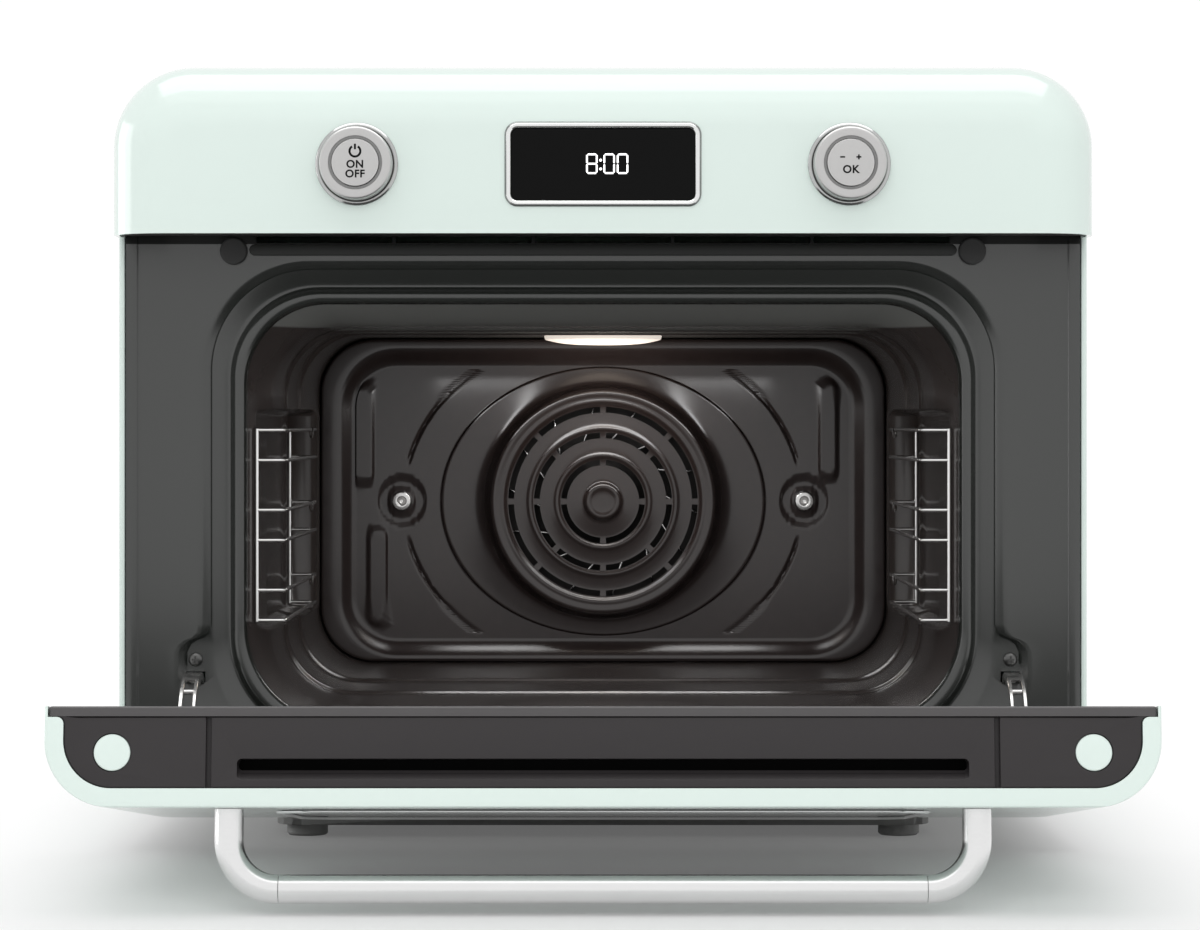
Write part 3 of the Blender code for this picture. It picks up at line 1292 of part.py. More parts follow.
def door_shell():
    """Outer skin: flat face, rolled sides and lower edge, and a folded rim round the cap."""
    shell = rounded_front("door_shell", DOOR_OUTER, DOOR_INNER, -DOOR_BELOW, DOOR_TOP, 0, False,
                          material=MINT, parent=DOOR)
    hollow = rounded_front(
        "door_hollow", DOOR_OUTER, DOOR_INNER + DOOR_WALL, DOOR_WALL - DOOR_BELOW, DOOR_TOP - DOOR_RIM_SHEET,
        DOOR_WALL, False, helper=True, parent=DOOR,
    )
    seat = DOOR_INNER - FRAME_SHEET - GAP
    inside = HALF - DOOR_WALL
    rabbet = box("frame_rabbet", (-inside, seat, DOOR_TOP / 2), (inside, DOOR_INNER + 0.01, DOOR_TOP + 0.01),
                 helper=True, parent=DOOR)
    opening = plate(
        "cap_opening", [plan(DOOR_OUTER, seat + 0.002, DOOR_RIM)], DOOR_TOP - 2 * DOOR_RIM_SHEET,
        DOOR_TOP + DOOR_RIM_SHEET, helper=True, parent=DOOR, along="z",
    )
    window = plate("window_opening", [window_outline(0)], DOOR_OUTER - 0.005, DOOR_OUTER + 0.008,
                   helper=True, parent=DOOR)
    cut(shell, hollow, rabbet, opening, window, hinge_notches("shell_notches"))


def window_outline(out):
    low = WINDOW_ABOVE_HINGE - out
    high = DOOR_TOP - WINDOW_BELOW_TOP + out
    radius = WINDOW_RADIUS + out
    return rounded(WINDOW_HALF + out, low, high, radius, radius, 6)


def hinge_notches(name):
    """Room for the fixed hinge lugs, open to the door's lower edge."""
    bm = bmesh.new()
    for sign in (-1, 1):
        middle = sign * (LUG_X + LUG_SHEET / 2)
        half = LUG_SHEET / 2 + 2 * RUNNING
        reach = LUG_RADIUS + 2 * RUNNING
        add_box(bm, (middle - half, -reach, -DOOR_BELOW - 0.004), (middle + half, DOOR_INNER + 0.004, reach))
    return from_bmesh(name, bm, helper=True, parent=DOOR)


def door_inner_frame():
    """Folded sheet behind the shell, with the inner window, the hinge ears and a slot for each arm."""
    offset = DOOR_WALL + GAP
    front = DOOR_INNER - FRAME_SHEET
    fold = DOOR_INNER - SHEET

    def outer(inset, depth):
        turn = CORNER_RADIUS - offset - inset
        low = offset + inset - DOOR_BELOW
        outline = rounded(HALF - offset - inset, low, DOOR_TOP - inset, turn, 0.002 - inset)
        return at_depth(outline, depth)

    def inner(out, depth):
        low = INNER_WINDOW_MARGIN - out
        outline = rounded(INNER_WINDOW_HALF + out, low, DOOR_TOP - low, INNER_WINDOW_RADIUS,
                          INNER_WINDOW_RADIUS)
        return at_depth(outline, depth)

    seat = GLASS_LAP + 2 * SHEET
    rings = [
        outer(0, DOOR_INNER), outer(0, front), outer(SHEET, front), outer(SHEET, fold),
        inner(seat, fold), inner(seat, front), inner(0, front), inner(0, DOOR_INNER),
    ]
    frame = loft("door_inner_frame", rings, DARK_ENAMEL, DOOR, loop=True)
    ears = bmesh.new()
    bores = bmesh.new()
    slots = bmesh.new()
    bore = PIN_RADIUS + GAP
    ear = bore + EAR_WALL
    arm_inner = ARM_RADIUS - ARM_HEIGHT
    for sign in (-1, 1):
        far = LUG_X - EAR_WIDTH
        near = LUG_X
        low, high = sorted((sign * far, sign * near))
        add_box(ears, (low, -ear, offset + GAP - DOOR_BELOW), (high, DOOR_INNER - SHEET / 2, ear + 0.004))
        add_cylinder(bores, (sign * (near + 0.003), 0, 0), (-sign, 0, 0), bore, PIN_LENGTH + 0.004, 12)
        half = ARM_WIDTH / 2 + GAP
        low = math.sqrt(arm_inner ** 2 - DOOR_INNER ** 2) - GAP
        add_box(slots, (sign * ARM_X - half, front - 0.01, low),
                (sign * ARM_X + half, DOOR_INNER + 0.01, ARM_RADIUS + GAP))
    join(frame, from_bmesh("hinge_ears", ears, helper=True, parent=DOOR))
    cut(frame, from_bmesh("ear_bores", bores, helper=True, parent=DOOR),
        from_bmesh("arm_slots", slots, helper=True, parent=DOOR), hinge_notches("frame_notches"))


def door_cap():
    """Moulding across the door's upper edge, with two grooves, a vent slot and a seat for each plug."""
    seat = DOOR_INNER - FRAME_SHEET - GAP
    top = DOOR_TOP - CAP_RECESS
    cap = plate("door_cap", [plan(DOOR_OUTER, seat, DOOR_RIM + GAP)], top - CAP_HEIGHT, top, DARK_PLASTIC,
                DOOR, along="z")
    holes = bmesh.new()
    for sign in (-1, 1):
        add_box(holes, (sign * GROOVE_X - GROOVE_WIDTH / 2, DOOR_OUTER, top - GROOVE_DEPTH),
                (sign * GROOVE_X + GROOVE_WIDTH / 2, seat + 0.01, top + 0.01))
        add_cylinder(holes, (sign * PLUG_X, DOOR_INNER - PLUG_IN, top - PLUG_LENGTH - GAP), (0, 0, 1),
                     PLUG_RADIUS + GAP, 0.02, 24)
    near = DOOR_INNER - DOOR_SLOT_IN
    far = near - DOOR_SLOT_WIDTH
    section = [
        (near, top + GAP), (far, top + GAP), (far, top), (far + DOOR_SLOT_LEAN, top - DOOR_SLOT_DEPTH),
        (near, top - DOOR_SLOT_DEPTH),
    ]
    vent = plate("cap_slot", [section], -DOOR_SLOT_HALF, DOOR_SLOT_HALF, parent=DOOR, helper=True, along="x")
    cut(cap, from_bmesh("cap_holes", holes, helper=True, parent=DOOR), vent)
    for side, sign in (("left", -1), ("right", 1)):
        turned(f"door_plug_{side}", [
            (0, 0), (PLUG_RADIUS - 0.0008, 0), (PLUG_RADIUS, -0.0008), (PLUG_RADIUS, -PLUG_LENGTH),
            (0, -PLUG_LENGTH),
        ], MINT, DOOR, (sign * PLUG_X, DOOR_INNER - PLUG_IN, top), front=False, steps=24)


def door_glazing():
    glass_front = DOOR_OUTER - GAP
    plate("outer_glass", [window_outline(-GAP)], glass_front, glass_front + OUTER_GLASS, WINDOW_GLASS, DOOR)
    back = glass_front - GAP
    front = back - 0.001
    section = [
        (0.0005 - WINDOW_TRIM * 0.2, front), (WINDOW_TRIM * 0.7, front), (WINDOW_TRIM * 0.8, back),
        (-WINDOW_TRIM * 0.2, back),
    ]
    loft("window_trim", [at_depth(window_outline(o), d) for o, d in section], CHROME, DOOR, loop=True)
    inner_back = DOOR_INNER - FRAME_SHEET - GAP
    half = INNER_WINDOW_HALF + GLASS_LAP
    margin = INNER_WINDOW_MARGIN - GLASS_LAP
    outline = rounded(half, margin, DOOR_TOP - margin, INNER_WINDOW_RADIUS, INNER_WINDOW_RADIUS, 4)
    plate("inner_glass", [outline], inner_back - INNER_GLASS, inner_back, WINDOW_GLASS, DOOR)


# Hinges

def hinge_arm(side, sign):
    """Stay fixed to the door: two curved cheeks joined by pins, which slide through the facade."""
    cheeks = []
    inner = ARM_RADIUS - ARM_HEIGHT
    edge = ARM_WIDTH / 2
    for i, (near, far) in enumerate(((-edge, ARM_CHEEK - edge), (edge - ARM_CHEEK, edge))):
        rings = []
        steps = 10
        for step in range(steps + 1):
            angle = ARM_START + (ARM_END - ARM_START) * step / steps
            rings.append([
                (sign * ARM_X + x, reach * math.sin(angle), reach * math.cos(angle))
                for x, reach in ((near, inner), (far, inner), (far, ARM_RADIUS), (near, ARM_RADIUS))
            ])
        cheeks.append(loft(f"arm_cheek_{i}_{side}", rings, STEEL, DOOR, helper=i > 0))
    arm = cheeks[0]
    arm.name = f"hinge_arm_{side}"
    pins = bmesh.new()
    middle = (ARM_RADIUS + inner) / 2
    for share in (0.04, 0.30, 0.52, 0.68, 0.84, 0.97):
        angle = ARM_START + (ARM_END - ARM_START) * share
        start = (sign * ARM_X - edge + ARM_CHEEK / 2, middle * math.sin(angle), middle * math.cos(angle))
        add_cylinder(pins, start, (1, 0, 0), ARM_PIN_RADIUS, ARM_WIDTH - ARM_CHEEK, 8)
    join(arm, cheeks[1], from_bmesh(f"arm_pins_{side}", pins, parent=DOOR, helper=True))


def hinge_bracket(side, sign):
    """Plate behind the facade; its lug reaches through to the hinge line and carries the pin."""
    pivot = (-HINGE_FORWARD, HINGE_Z)
    behind = RIM_STEP + STEP_DEPTH + SHEET + 0.002
    outline = arc(pivot, LUG_RADIUS, 90, 270, 8)
    outline += [(behind, HINGE_Z - LUG_RADIUS), (behind, BRACKET_LOW), (BRACKET_BACK, BRACKET_LOW)]
    outline += [(BRACKET_BACK, BRACKET_TOP - BRACKET_SLOPE), (BRACKET_BACK - BRACKET_SLOPE, BRACKET_TOP)]
    outline += [(behind, BRACKET_TOP)]
    outline += [(behind, HINGE_Z + LUG_RADIUS)]
    low, high = sorted((sign * LUG_X, sign * (LUG_X + LUG_SHEET)))
    bracket = plate(f"hinge_bracket_{side}", [outline], low, high, PLATED_STEEL, along="x")
    flange_back = ARM_X + HINGE_SCREW_RADIUS + 0.003
    low, high = sorted((sign * (LUG_X + LUG_SHEET / 2), sign * flange_back))
    flange_low = HINGE_Z + ARM_RADIUS + 2 * RUNNING
    flange = box(f"bracket_flange_{side}", (low, behind - 0.0002, flange_low),
                 (high, behind + 0.002, BRACKET_TOP), helper=True)
    pin = cylinder(f"hinge_pin_{side}", (sign * (LUG_X + LUG_SHEET / 2), -HINGE_FORWARD, HINGE_Z),
                   (-sign, 0, 0), PIN_RADIUS, PIN_LENGTH, helper=True, segments=12)
    hole = cylinder(f"bracket_hole_{side}", (sign * ARM_X, 0, HINGE_SCREW_Z), (0, 1, 0), SCREW_SHANK + GAP,
                    0.03, helper=True, segments=10)
    join(bracket, flange, pin)
    cut(bracket, hole)
    screw(f"hinge_screw_{side}", (sign * ARM_X, RIM_STEP + STEP_DEPTH, HINGE_SCREW_Z), HINGE_SCREW_RADIUS,
          0.0024, 0.007)


# Handle

def handle():
    """Straight tube between two elbows that stand on the door's face."""
    z = DOOR_TOP - HANDLE_BELOW_TOP
    axis_y = DOOR_OUTER - HANDLE_STANDOFF
    foot = DOOR_OUTER - GAP
    end = HANDLE_X - HANDLE_BEND
    for side, sign in (("left", -1), ("right", 1)):
        bend = fillet_path(
            [(sign * HANDLE_X, foot, z), (sign * HANDLE_X, axis_y, z), (sign * end, axis_y, z)],
            HANDLE_BEND * 0.98, 7,
        )
        tube(f"handle_elbow_{side}", bend, HANDLE_RADIUS, STEEL, DOOR, resolution=5)
    tube("handle_bar", [(GAP - end, axis_y, z), (end - GAP, axis_y, z)], HANDLE_RADIUS, STEEL, DOOR,
         resolution=5)


# Assembly

casing_wrap()
rear_cover()
cord_gland()
base_pan()
plinth()
feet()
control_panel()
panel_base()
display()
control_board()
facade()
air_deflector()
bumpers()
cavity()
fan_cover()
fan()
fan_motor()
heaters()
lamp()
door_shell()
door_inner_frame()
door_cap()
door_glazing()
handle()
for side_name, side_sign in (("left", -1), ("right", 1)):
    knob_parts(side_name, side_sign)
    side_rack(side_name, side_sign)
    hinge_arm(side_name, side_sign)
    hinge_bracket(side_name, side_sign)
    screw(f"cover_screw_{side_name}", (side_sign * COVER_SCREW_X, COVER_DEPTH + COVER_PANEL_DEPTH, FAN_Z),
          COVER_SCREW_RADIUS, 0.0035, 0.009)
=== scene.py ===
"""Looks of a countertop convection oven, shown with its drop-down door open.

Lengths are in metres. Cabinet pieces are drawn from the facade, the plate round the oven's mouth, and
door pieces from the hinge line as if the door were closed; each is then put in place for good.
"""

import json
import math

import bmesh
import bpy
from mathutils import Matrix, Vector


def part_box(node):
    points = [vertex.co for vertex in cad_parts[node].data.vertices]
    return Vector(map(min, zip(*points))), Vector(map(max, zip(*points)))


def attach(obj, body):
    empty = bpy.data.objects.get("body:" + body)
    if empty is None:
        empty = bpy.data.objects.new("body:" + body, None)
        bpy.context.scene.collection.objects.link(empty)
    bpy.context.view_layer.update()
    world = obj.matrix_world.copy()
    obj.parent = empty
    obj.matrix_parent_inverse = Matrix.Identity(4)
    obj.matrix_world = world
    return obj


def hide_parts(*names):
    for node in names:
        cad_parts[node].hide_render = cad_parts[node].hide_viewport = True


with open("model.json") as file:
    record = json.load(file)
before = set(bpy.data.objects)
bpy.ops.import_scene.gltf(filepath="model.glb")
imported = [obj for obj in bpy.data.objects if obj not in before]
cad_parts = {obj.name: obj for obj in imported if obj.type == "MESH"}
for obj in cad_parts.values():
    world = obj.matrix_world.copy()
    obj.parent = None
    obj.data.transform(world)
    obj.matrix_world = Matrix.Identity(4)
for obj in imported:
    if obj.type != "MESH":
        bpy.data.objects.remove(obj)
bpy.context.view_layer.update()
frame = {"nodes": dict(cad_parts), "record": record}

# Sizes shared with the solid model
GAP = 0.0003
WIDTH = 0.498
HALF = WIDTH / 2
HEIGHT = 0.402
BODY_BOTTOM = 0.024
BODY_DEPTH = 0.348
CORNER_RADIUS = 0.041
EDGE_RADIUS = 0.030
CASING_WALL = 0.003
HEM = 0.012
SHEET = 0.0012
INNER_HALF = HALF - CASING_WALL - GAP
PANEL_DEPTH = 0.048
PANEL_FRONT = -PANEL_DEPTH
PANEL_BOTTOM = 0.3164
PANEL_WALL = 0.0025
CONTROLS_Z = 0.351
KNOB_X = 0.1236
OPEN_ANGLE = math.radians(83)
HINGE_FORWARD = 0.008
HINGE_Z = 0.0588
DOOR_TOP = PANEL_BOTTOM - 0.003 - HINGE_Z
DOOR_INNER = HINGE_FORWARD - 0.003
DOOR_OUTER = HINGE_FORWARD - PANEL_DEPTH
DOOR_BELOW = 0.0055
DOOR_WALL = 0.0015
FAN_Z = 0.1755
KNOB_RADIUS = 0.0184
KNOB_BORE = KNOB_RADIUS + 0.0016
KNOB_PROUD = 0.013
DISPLAY_HALF_X = 0.0494
DISPLAY_HALF_Z = 0.0213
DISPLAY_RADIUS = 0.0065
RIM = 0.0065
VENT_LOW = 0.3137
VENT_HALF = 0.1785
VENT_RIB = 0.0016
VENT_TALL = 0.0035
STRIP_HALF = 0.0029
BUMPER_X = 0.190
BUMPER_Z = 0.3096
MOUTH_HALF = 0.1839
MOUTH_LOW = 0.0663
MOUTH_HIGH = 0.2825
MOUTH_RADIUS_HIGH = 0.041
MOUTH_RADIUS_LOW = 0.050
MOUTH_DEPTH = 0.0125
STEP_OUT = 0.0225
FACADE_FLAT = 0.0015
STEP_DEPTH = 0.003
FLARE_OUT = 0.0125
CAVITY_DEPTH = 0.295
CAVITY_START = 0.045
CAVITY_HALF = 0.1735
CAVITY_LOW = 0.0735
CAVITY_HIGH = 0.2722
CAVITY_RADIUS = 0.036
REAR_HALF = 0.1650
REAR_LOW = 0.0818
REAR_HIGH = 0.2710
REAR_RADIUS = 0.031
ALCOVE_HALF = 0.1813
ALCOVE_HIGH = 0.2290
ALCOVE_LOW = 0.1125
ALCOVE_SLOPE = 0.004
COVER_DEPTH = 0.268
COVER_PANEL = COVER_DEPTH + 0.0055
COVER_SCREW_X = 0.118
LAMP_DEPTH = 0.207
GROOVE_X = 0.1757
PLUG_X = 0.2187
ARM_X = 0.210
LUG_X = 0.1985
LUG_MIDDLE = LUG_X + 0.00125
ARM_SLOT_LOW = 0.0875
ARM_SLOT_HIGH = 0.0930
HINGE_SCREW_Z = 0.0992
ARM_INNER = 0.0305
ARM_OUTER = 0.0345
ARM_PINS = (ARM_INNER + ARM_OUTER) / 2
HANDLE_X = 0.168
FRAME_FRONT = DOOR_INNER - 0.0045
FRAME_SEAT = FRAME_FRONT - GAP

# Sizes of the finished pieces alone
FINE_BEND = 0.0005
HOLE_ROOM = 0.010
PANEL_FLAT = 0.0015
TEXT_LIFT = 0.00003
PRINT_DEPTH = 0.00004
DIGIT_HALF_X = 0.00245
DIGIT_HALF_Z = 0.0047
BAR_APART = 0.00012
BAR_WIDTH = 0.00088
SIGN_REACH = 0.00125
SIGN_HALF = 0.00038
CAP_TOP = DOOR_TOP - 0.0005
CAP_OFFSET = 0.0088
CAP_WALL = 0.0034
PLUG_Y = DOOR_INNER - 0.0206
GROOVE_HALF = 0.0011
SLOT_NEAR = DOOR_INNER - 0.0233
SLOT_FAR = SLOT_NEAR - 0.0097
SLOT_HALF = 0.163
SLOT_LEAN = 0.0046
SLOT_SINK = 0.0100
WINDOW_HALF = 0.1485
WINDOW_RADIUS = 0.018
PANE_LOW = 0.0205
PANE_RADIUS = 0.025
PIN_HALF = 0.0034
HANDLE_TUBE = 0.0065
HANDLE_REACH = 0.036
HANDLE_BEND = 0.0220
SHANK = 0.0018
AIR_SLOT_PITCH = 0.022
AIR_SLOT_ROWS = (FAN_Z - 0.045, FAN_Z + 0.075)
GLAND_PLACE = (0.084 - HALF, 0.060)
GLAND_HOLE = 0.0083
REAR_SCREW_EDGE = 0.0068
REAR_SCREW_ROWS = (0.050, 0.190, 0.330)
REAR_SCREW_X = 0.125
FAN_DEPTH = 0.286
FAN_BLADES = 14
BLADE_REACH = 0.042
RIDGES = (0.100, 0.166)
RIDGE_HALF = 0.006
RIDGE_FOOT = 0.0075
RIDGE_RISE = 0.0014
ALCOVE_END = 0.236
REAR_BEND = 0.006
SHAFT_HOLE = 0.0075
LENS_RADIUS = 0.0335
RACK_FRONT = 0.020
RACK_LENGTH = 0.2068
RACK_LOW = 0.1186
RACK_HIGH = 0.2175
RACK_POST = 0.00115
RACK_RUNG = 0.00105
COVER_ANGLES = [math.tau * (i + 0.5) / 320 for i in range(320)]
SUNK_HALF = 0.149
SUNK_LOW = 0.0905
SUNK_HIGH = 0.2588
SUNK_RADIUS = 0.028
DISH_HALF_X = 0.0955
DISH_HALF_Z = 0.0790
DISH_EDGE = 0.0014
DISH_RISE = 0.0016
PAD_RISE = 0.0016
GROOVE_SINK = 0.0013
GROOVE_HALF_X = 0.1172
GROOVE_HALF_Z = 0.0995
GRILLE_RADIUS = 0.0665
GRILLE_SLOT = 0.0034
CAMERA_AWAY = 1.9498
CAMERA_Z = 0.2201
LENS_TO_WIDTH = 3790 / 1200
SHOWN_WHITE = 1.02
SIDES = (("left", -1), ("right", 1))

FACADE_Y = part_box("casing_wrap")[0].y
CABINET = Matrix.Translation((0, FACADE_Y, 0))
DOOR = CABINET @ Matrix.Translation((0, -HINGE_FORWARD, HINGE_Z)) @ Matrix.Rotation(OPEN_ANGLE, 4, "X")


# Node trees

def feed(tree, node, inputs):
    """Gives a node's inputs plain values, or links them to the sockets that feed them."""
    for socket, value in inputs.items():
        if isinstance(value, bpy.types.NodeSocket):
            tree.links.new(value, node.inputs[socket])
        else:
            node.inputs[socket].default_value = value


def add_node(tree, kind, inputs=None, **settings):
    node = tree.nodes.new(kind)
    for key, value in settings.items():
        setattr(node, key, value)
    feed(tree, node, inputs or {})
    return node


def calculate(tree, operation, *values):
    """The outcome of one Math node."""
    return add_node(tree, "ShaderNodeMath", dict(enumerate(values)), operation=operation).outputs["Value"]


def object_place(tree):
    return add_node(tree, "ShaderNodeTexCoord").outputs["Object"]


# Materials

def shader_material(name, colour, roughness, metallic=0.0, coat=0.0, mottle=0.03, grain=(140, 140, 140),
                    grit=0.05, bump=0.0, bump_scale=900, specular=0.5):
    """A Principled material whose colour, roughness and relief vary a little across the object."""
    made = bpy.data.materials.new(name)
    made.use_nodes = True
    tree = made.node_tree
    place = object_place(tree)
    stretch = add_node(tree, "ShaderNodeMapping", {"Vector": place, "Scale": grain})
    speck = add_node(tree, "ShaderNodeTexNoise", {
        "Vector": stretch.outputs["Vector"], "Scale": 1.0, "Detail": 4.0,
    }).outputs["Fac"]
    tint = add_node(tree, "ShaderNodeMixRGB", {
        "Fac": speck, "Color1": (*[c * (1 - mottle) for c in colour], 1),
        "Color2": (*[min(1, c * (1 + mottle)) for c in colour], 1),
    })
    rough = add_node(tree, "ShaderNodeMapRange", {
        "Value": speck, "To Min": max(0.02, roughness * (1 - grit)), "To Max": min(1.0, roughness * (1 + grit)),
    })
    shader = tree.nodes["Principled BSDF"]
    feed(tree, shader, {
        "Base Color": tint.outputs["Color"], "Roughness": rough.outputs["Result"], "Metallic": metallic,
        "Coat Weight": coat, "Coat Roughness": 0.03, "Specular IOR Level": specular,
    })
    if bump:
        fine = add_node(tree, "ShaderNodeTexNoise", {"Vector": place, "Scale": bump_scale, "Detail": 3.0})
        relief = add_node(tree, "ShaderNodeBump", {
            "Height": fine.outputs["Fac"], "Strength": bump, "Distance": 0.0002,
        })
        feed(tree, shader, {"Normal": relief.outputs["Normal"]})
    return made


def glow_material(name, colour, strength):
    """A lit surface."""
    made = shader_material(name, colour, 0.4)
    tree = made.node_tree
    feed(tree, tree.nodes["Principled BSDF"], {"Emission Color": (*colour, 1), "Emission Strength": strength})
    return made


def change_above(made, colour, low, high, dull=None):
    """Paints a material another colour above a height, and duller where a specular level is given; both uses
    paint light or shade.
    """
    tree = made.node_tree
    shader = tree.nodes["Principled BSDF"]
    parts = add_node(tree, "ShaderNodeSeparateXYZ", {"Vector": object_place(tree)})
    above = add_node(tree, "ShaderNodeMapRange", {
        "Value": parts.outputs["Z"], "From Min": low, "From Max": high,
    }).outputs["Result"]
    change = add_node(tree, "ShaderNodeMixRGB", {
        "Fac": above, "Color1": shader.inputs["Base Color"].links[0].from_socket, "Color2": (*colour, 1),
    })
    feed(tree, shader, {"Base Color": change.outputs["Color"]})
    if dull is not None:
        fall = add_node(tree, "ShaderNodeMapRange", {
            "Value": above, "To Min": shader.inputs["Specular IOR Level"].default_value, "To Max": dull,
        })
        feed(tree, shader, {"Specular IOR Level": fall.outputs["Result"]})


MINT = shader_material("mint_enamel", (0.730, 0.835, 0.787), 0.13, coat=0.25, mottle=0.004, grit=0.02)
DARK_ENAMEL = shader_material("dark_enamel", (0.040, 0.044, 0.040), 0.30, mottle=0.05, bump=0.10,
                              bump_scale=700)
FACADE_ENAMEL = shader_material("facade_enamel", (0.018, 0.020, 0.018), 0.24, mottle=0.05, bump=0.04,
                                bump_scale=700, specular=0.9)
# Painted shade: a near-black enamel for the air deflector, standing in for the shadow under the control panel.
PAINTED_SHADE_ENAMEL = shader_material("painted_shade_enamel", (0.010, 0.011, 0.010), 0.40, mottle=0.05, specular=0.3)
CAVITY_ENAMEL = shader_material("cavity_enamel", (0.030, 0.022, 0.021), 0.21, mottle=0.12, bump=0.05,
                                bump_scale=350, specular=0.6)
LINER_ENAMEL = shader_material("liner_enamel", (0.052, 0.044, 0.042), 0.22, mottle=0.12, bump=0.05,
                               bump_scale=350, specular=0.55)
LIP_ENAMEL = shader_material("lip_enamel", (0.066, 0.062, 0.063), 0.38, mottle=0.05, bump=0.1, bump_scale=900)
DARK_PLASTIC = shader_material("dark_plastic", (0.050, 0.046, 0.047), 0.50, mottle=0.06, bump=0.25,
                               bump_scale=2500)
CAP_PLASTIC = shader_material("cap_plastic", (0.028, 0.025, 0.026), 0.46, mottle=0.05, bump=0.2,
                              bump_scale=2500, specular=0.35)
PLINTH_GREY = shader_material("plinth_grey", (0.30, 0.30, 0.295), 0.55, mottle=0.05, bump=0.1, bump_scale=1500)
RUBBER = shader_material("rubber", (0.025, 0.025, 0.025), 0.70, mottle=0.1, bump=0.3, bump_scale=1500)
STEEL = shader_material("satin_steel", (0.66, 0.65, 0.64), 0.24, metallic=1.0, grain=(900, 900, 900), grit=0.2)
CHROME = shader_material("chrome", (0.80, 0.80, 0.80), 0.08, metallic=1.0, mottle=0.01)
PLATED = shader_material("plated_steel", (0.50, 0.50, 0.49), 0.38, metallic=1.0, mottle=0.08, grit=0.2)
FAN_STEEL = shader_material("fan_steel", (0.030, 0.028, 0.027), 0.40, metallic=0.7, mottle=0.1)
# Painted shade: a darker copy of the display trim's steel, for the trim's outer edge.
TRIM_PAINTED_SHADE = shader_material("trim_painted_shade", (0.26, 0.27, 0.265), 0.2, metallic=1.0, mottle=0.01)
TRIM_STEEL = shader_material("trim_steel", (0.78, 0.79, 0.78), 0.14, metallic=1.0, mottle=0.01)
KNOB_METAL = shader_material("knob_metal", (0.54, 0.535, 0.53), 0.40, metallic=0.85, grain=(500, 500, 500),
                             grit=0.1)
BEZEL_METAL = shader_material("bezel_metal", (0.46, 0.465, 0.46), 0.16, metallic=1.0, mottle=0.01)
RACK_STEEL = shader_material("rack_steel", (0.80, 0.79, 0.78), 0.22, metallic=1.0, mottle=0.02)
HANDLE_STEEL = shader_material("handle_steel", (0.78, 0.78, 0.78), 0.22, metallic=1.0, grain=(60, 900, 900),
                               grit=0.15)
SCREW_STEEL = shader_material("screw_steel", (0.11, 0.11, 0.108), 0.28, metallic=0.9, mottle=0.05)
PAN_STEEL = shader_material("pan_steel", (0.62, 0.63, 0.62), 0.35, metallic=0.7, mottle=0.05)
BLACK_GLASS = shader_material("black_glass", (0.003, 0.003, 0.003), 0.05, mottle=0.01, specular=0.08)
WINDOW_GLASS = shader_material("window_glass", (0.020, 0.021, 0.021), 0.04, mottle=0.02)
LAMP_GLASS = glow_material("lamp_glass", (0.80, 0.72, 0.64), 0.8)
DIGITS = glow_material("display_digits", (1.0, 1.0, 1.0), 1.0)
PRINT = shader_material("black_print", (0.006, 0.006, 0.006), 0.6, mottle=0.02, specular=0.05)
GREY_RING = shader_material("grey_ring", (0.21, 0.21, 0.208), 0.45, mottle=0.03)
# Painted shade: a black sheet on the floor of the door cap's slot stands in for the shade deep in the slot.
SLOT_PAINTED_SHADE = shader_material("slot_painted_shade", (0.002, 0.002, 0.002), 0.8, mottle=0.05, specular=0.05)
BOARD = shader_material("circuit_board", (0.02, 0.12, 0.05), 0.45, mottle=0.2, grain=(300, 300, 300))
CERAMIC = shader_material("ceramic", (0.80, 0.78, 0.72), 0.40, mottle=0.03)
# Painted light: the front of the cavity's roof, above this height, is painted pale in place of the light it
# gets from below.
change_above(LINER_ENAMEL, (0.20, 0.205, 0.195), CAVITY_HIGH - 0.0015, CAVITY_HIGH - 0.0005)
# Painted shadow: above this height, just under the control panel, the facade is painted near black and duller,
# standing in for the panel's shadow.
change_above(FACADE_ENAMEL, (0.004, 0.0045, 0.004), 0.3130, 0.3134, dull=0.12)
SLOTS = {
    "mint_enamel": MINT, "dark_enamel": DARK_ENAMEL, "cavity_enamel": CAVITY_ENAMEL,
    "dark_plastic": DARK_PLASTIC, "satin_steel": STEEL, "chrome": CHROME, "plated_steel": PLATED,
    "black_glass": BLACK_GLASS, "window_glass": WINDOW_GLASS, "rubber": RUBBER, "circuit_board": BOARD,
    "ceramic": CERAMIC, "lamp_glass": LAMP_GLASS,
}
OWN_LOOKS = {"plinth": PLINTH_GREY, "base_pan": PAN_STEEL}
SLOT_OF = {part["node"]: part["material_slot"] for part in frame["record"]["subparts"]}
BODY_OF = {node: body for body, group in frame["record"]["behaviour"]["bodies"].items() for node in group}


# Making pieces

def linked_object(name, data):
    obj = bpy.data.objects.new(name, data)
    bpy.context.scene.collection.objects.link(obj)
    return obj


def taken_mesh(obj, *helpers):
    """The plain mesh of an object after its modifiers; the object and its helpers are removed."""
    made = bpy.data.meshes.new_from_object(obj.evaluated_get(bpy.context.evaluated_depsgraph_get()))
    for thing in (obj, *helpers):
        bpy.data.objects.remove(thing)
    return made


def to_mesh(name, bm):
    mesh = bpy.data.meshes.new(name)
    bm.to_mesh(mesh)
    bm.free()
    return mesh


def joined(name, meshes):
    """One mesh of several, each left as it is."""
    bm = bmesh.new()
    for mesh in meshes:
        bm.from_mesh(mesh)
    return to_mesh(name, bm)


def finish_mesh(name, mesh, material, body, replaced=(), angle=32):
    """Puts a finished mesh on its body, in place of the nodes it stands for."""
    mesh.name = name
    mesh.materials.clear()
    mesh.materials.append(material)
    mesh.shade_smooth()
    mesh.set_sharp_from_angle(angle=math.radians(angle))
    obj = linked_object(name, mesh)
    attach(obj, body)
    if replaced:
        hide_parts(*replaced)
    return obj


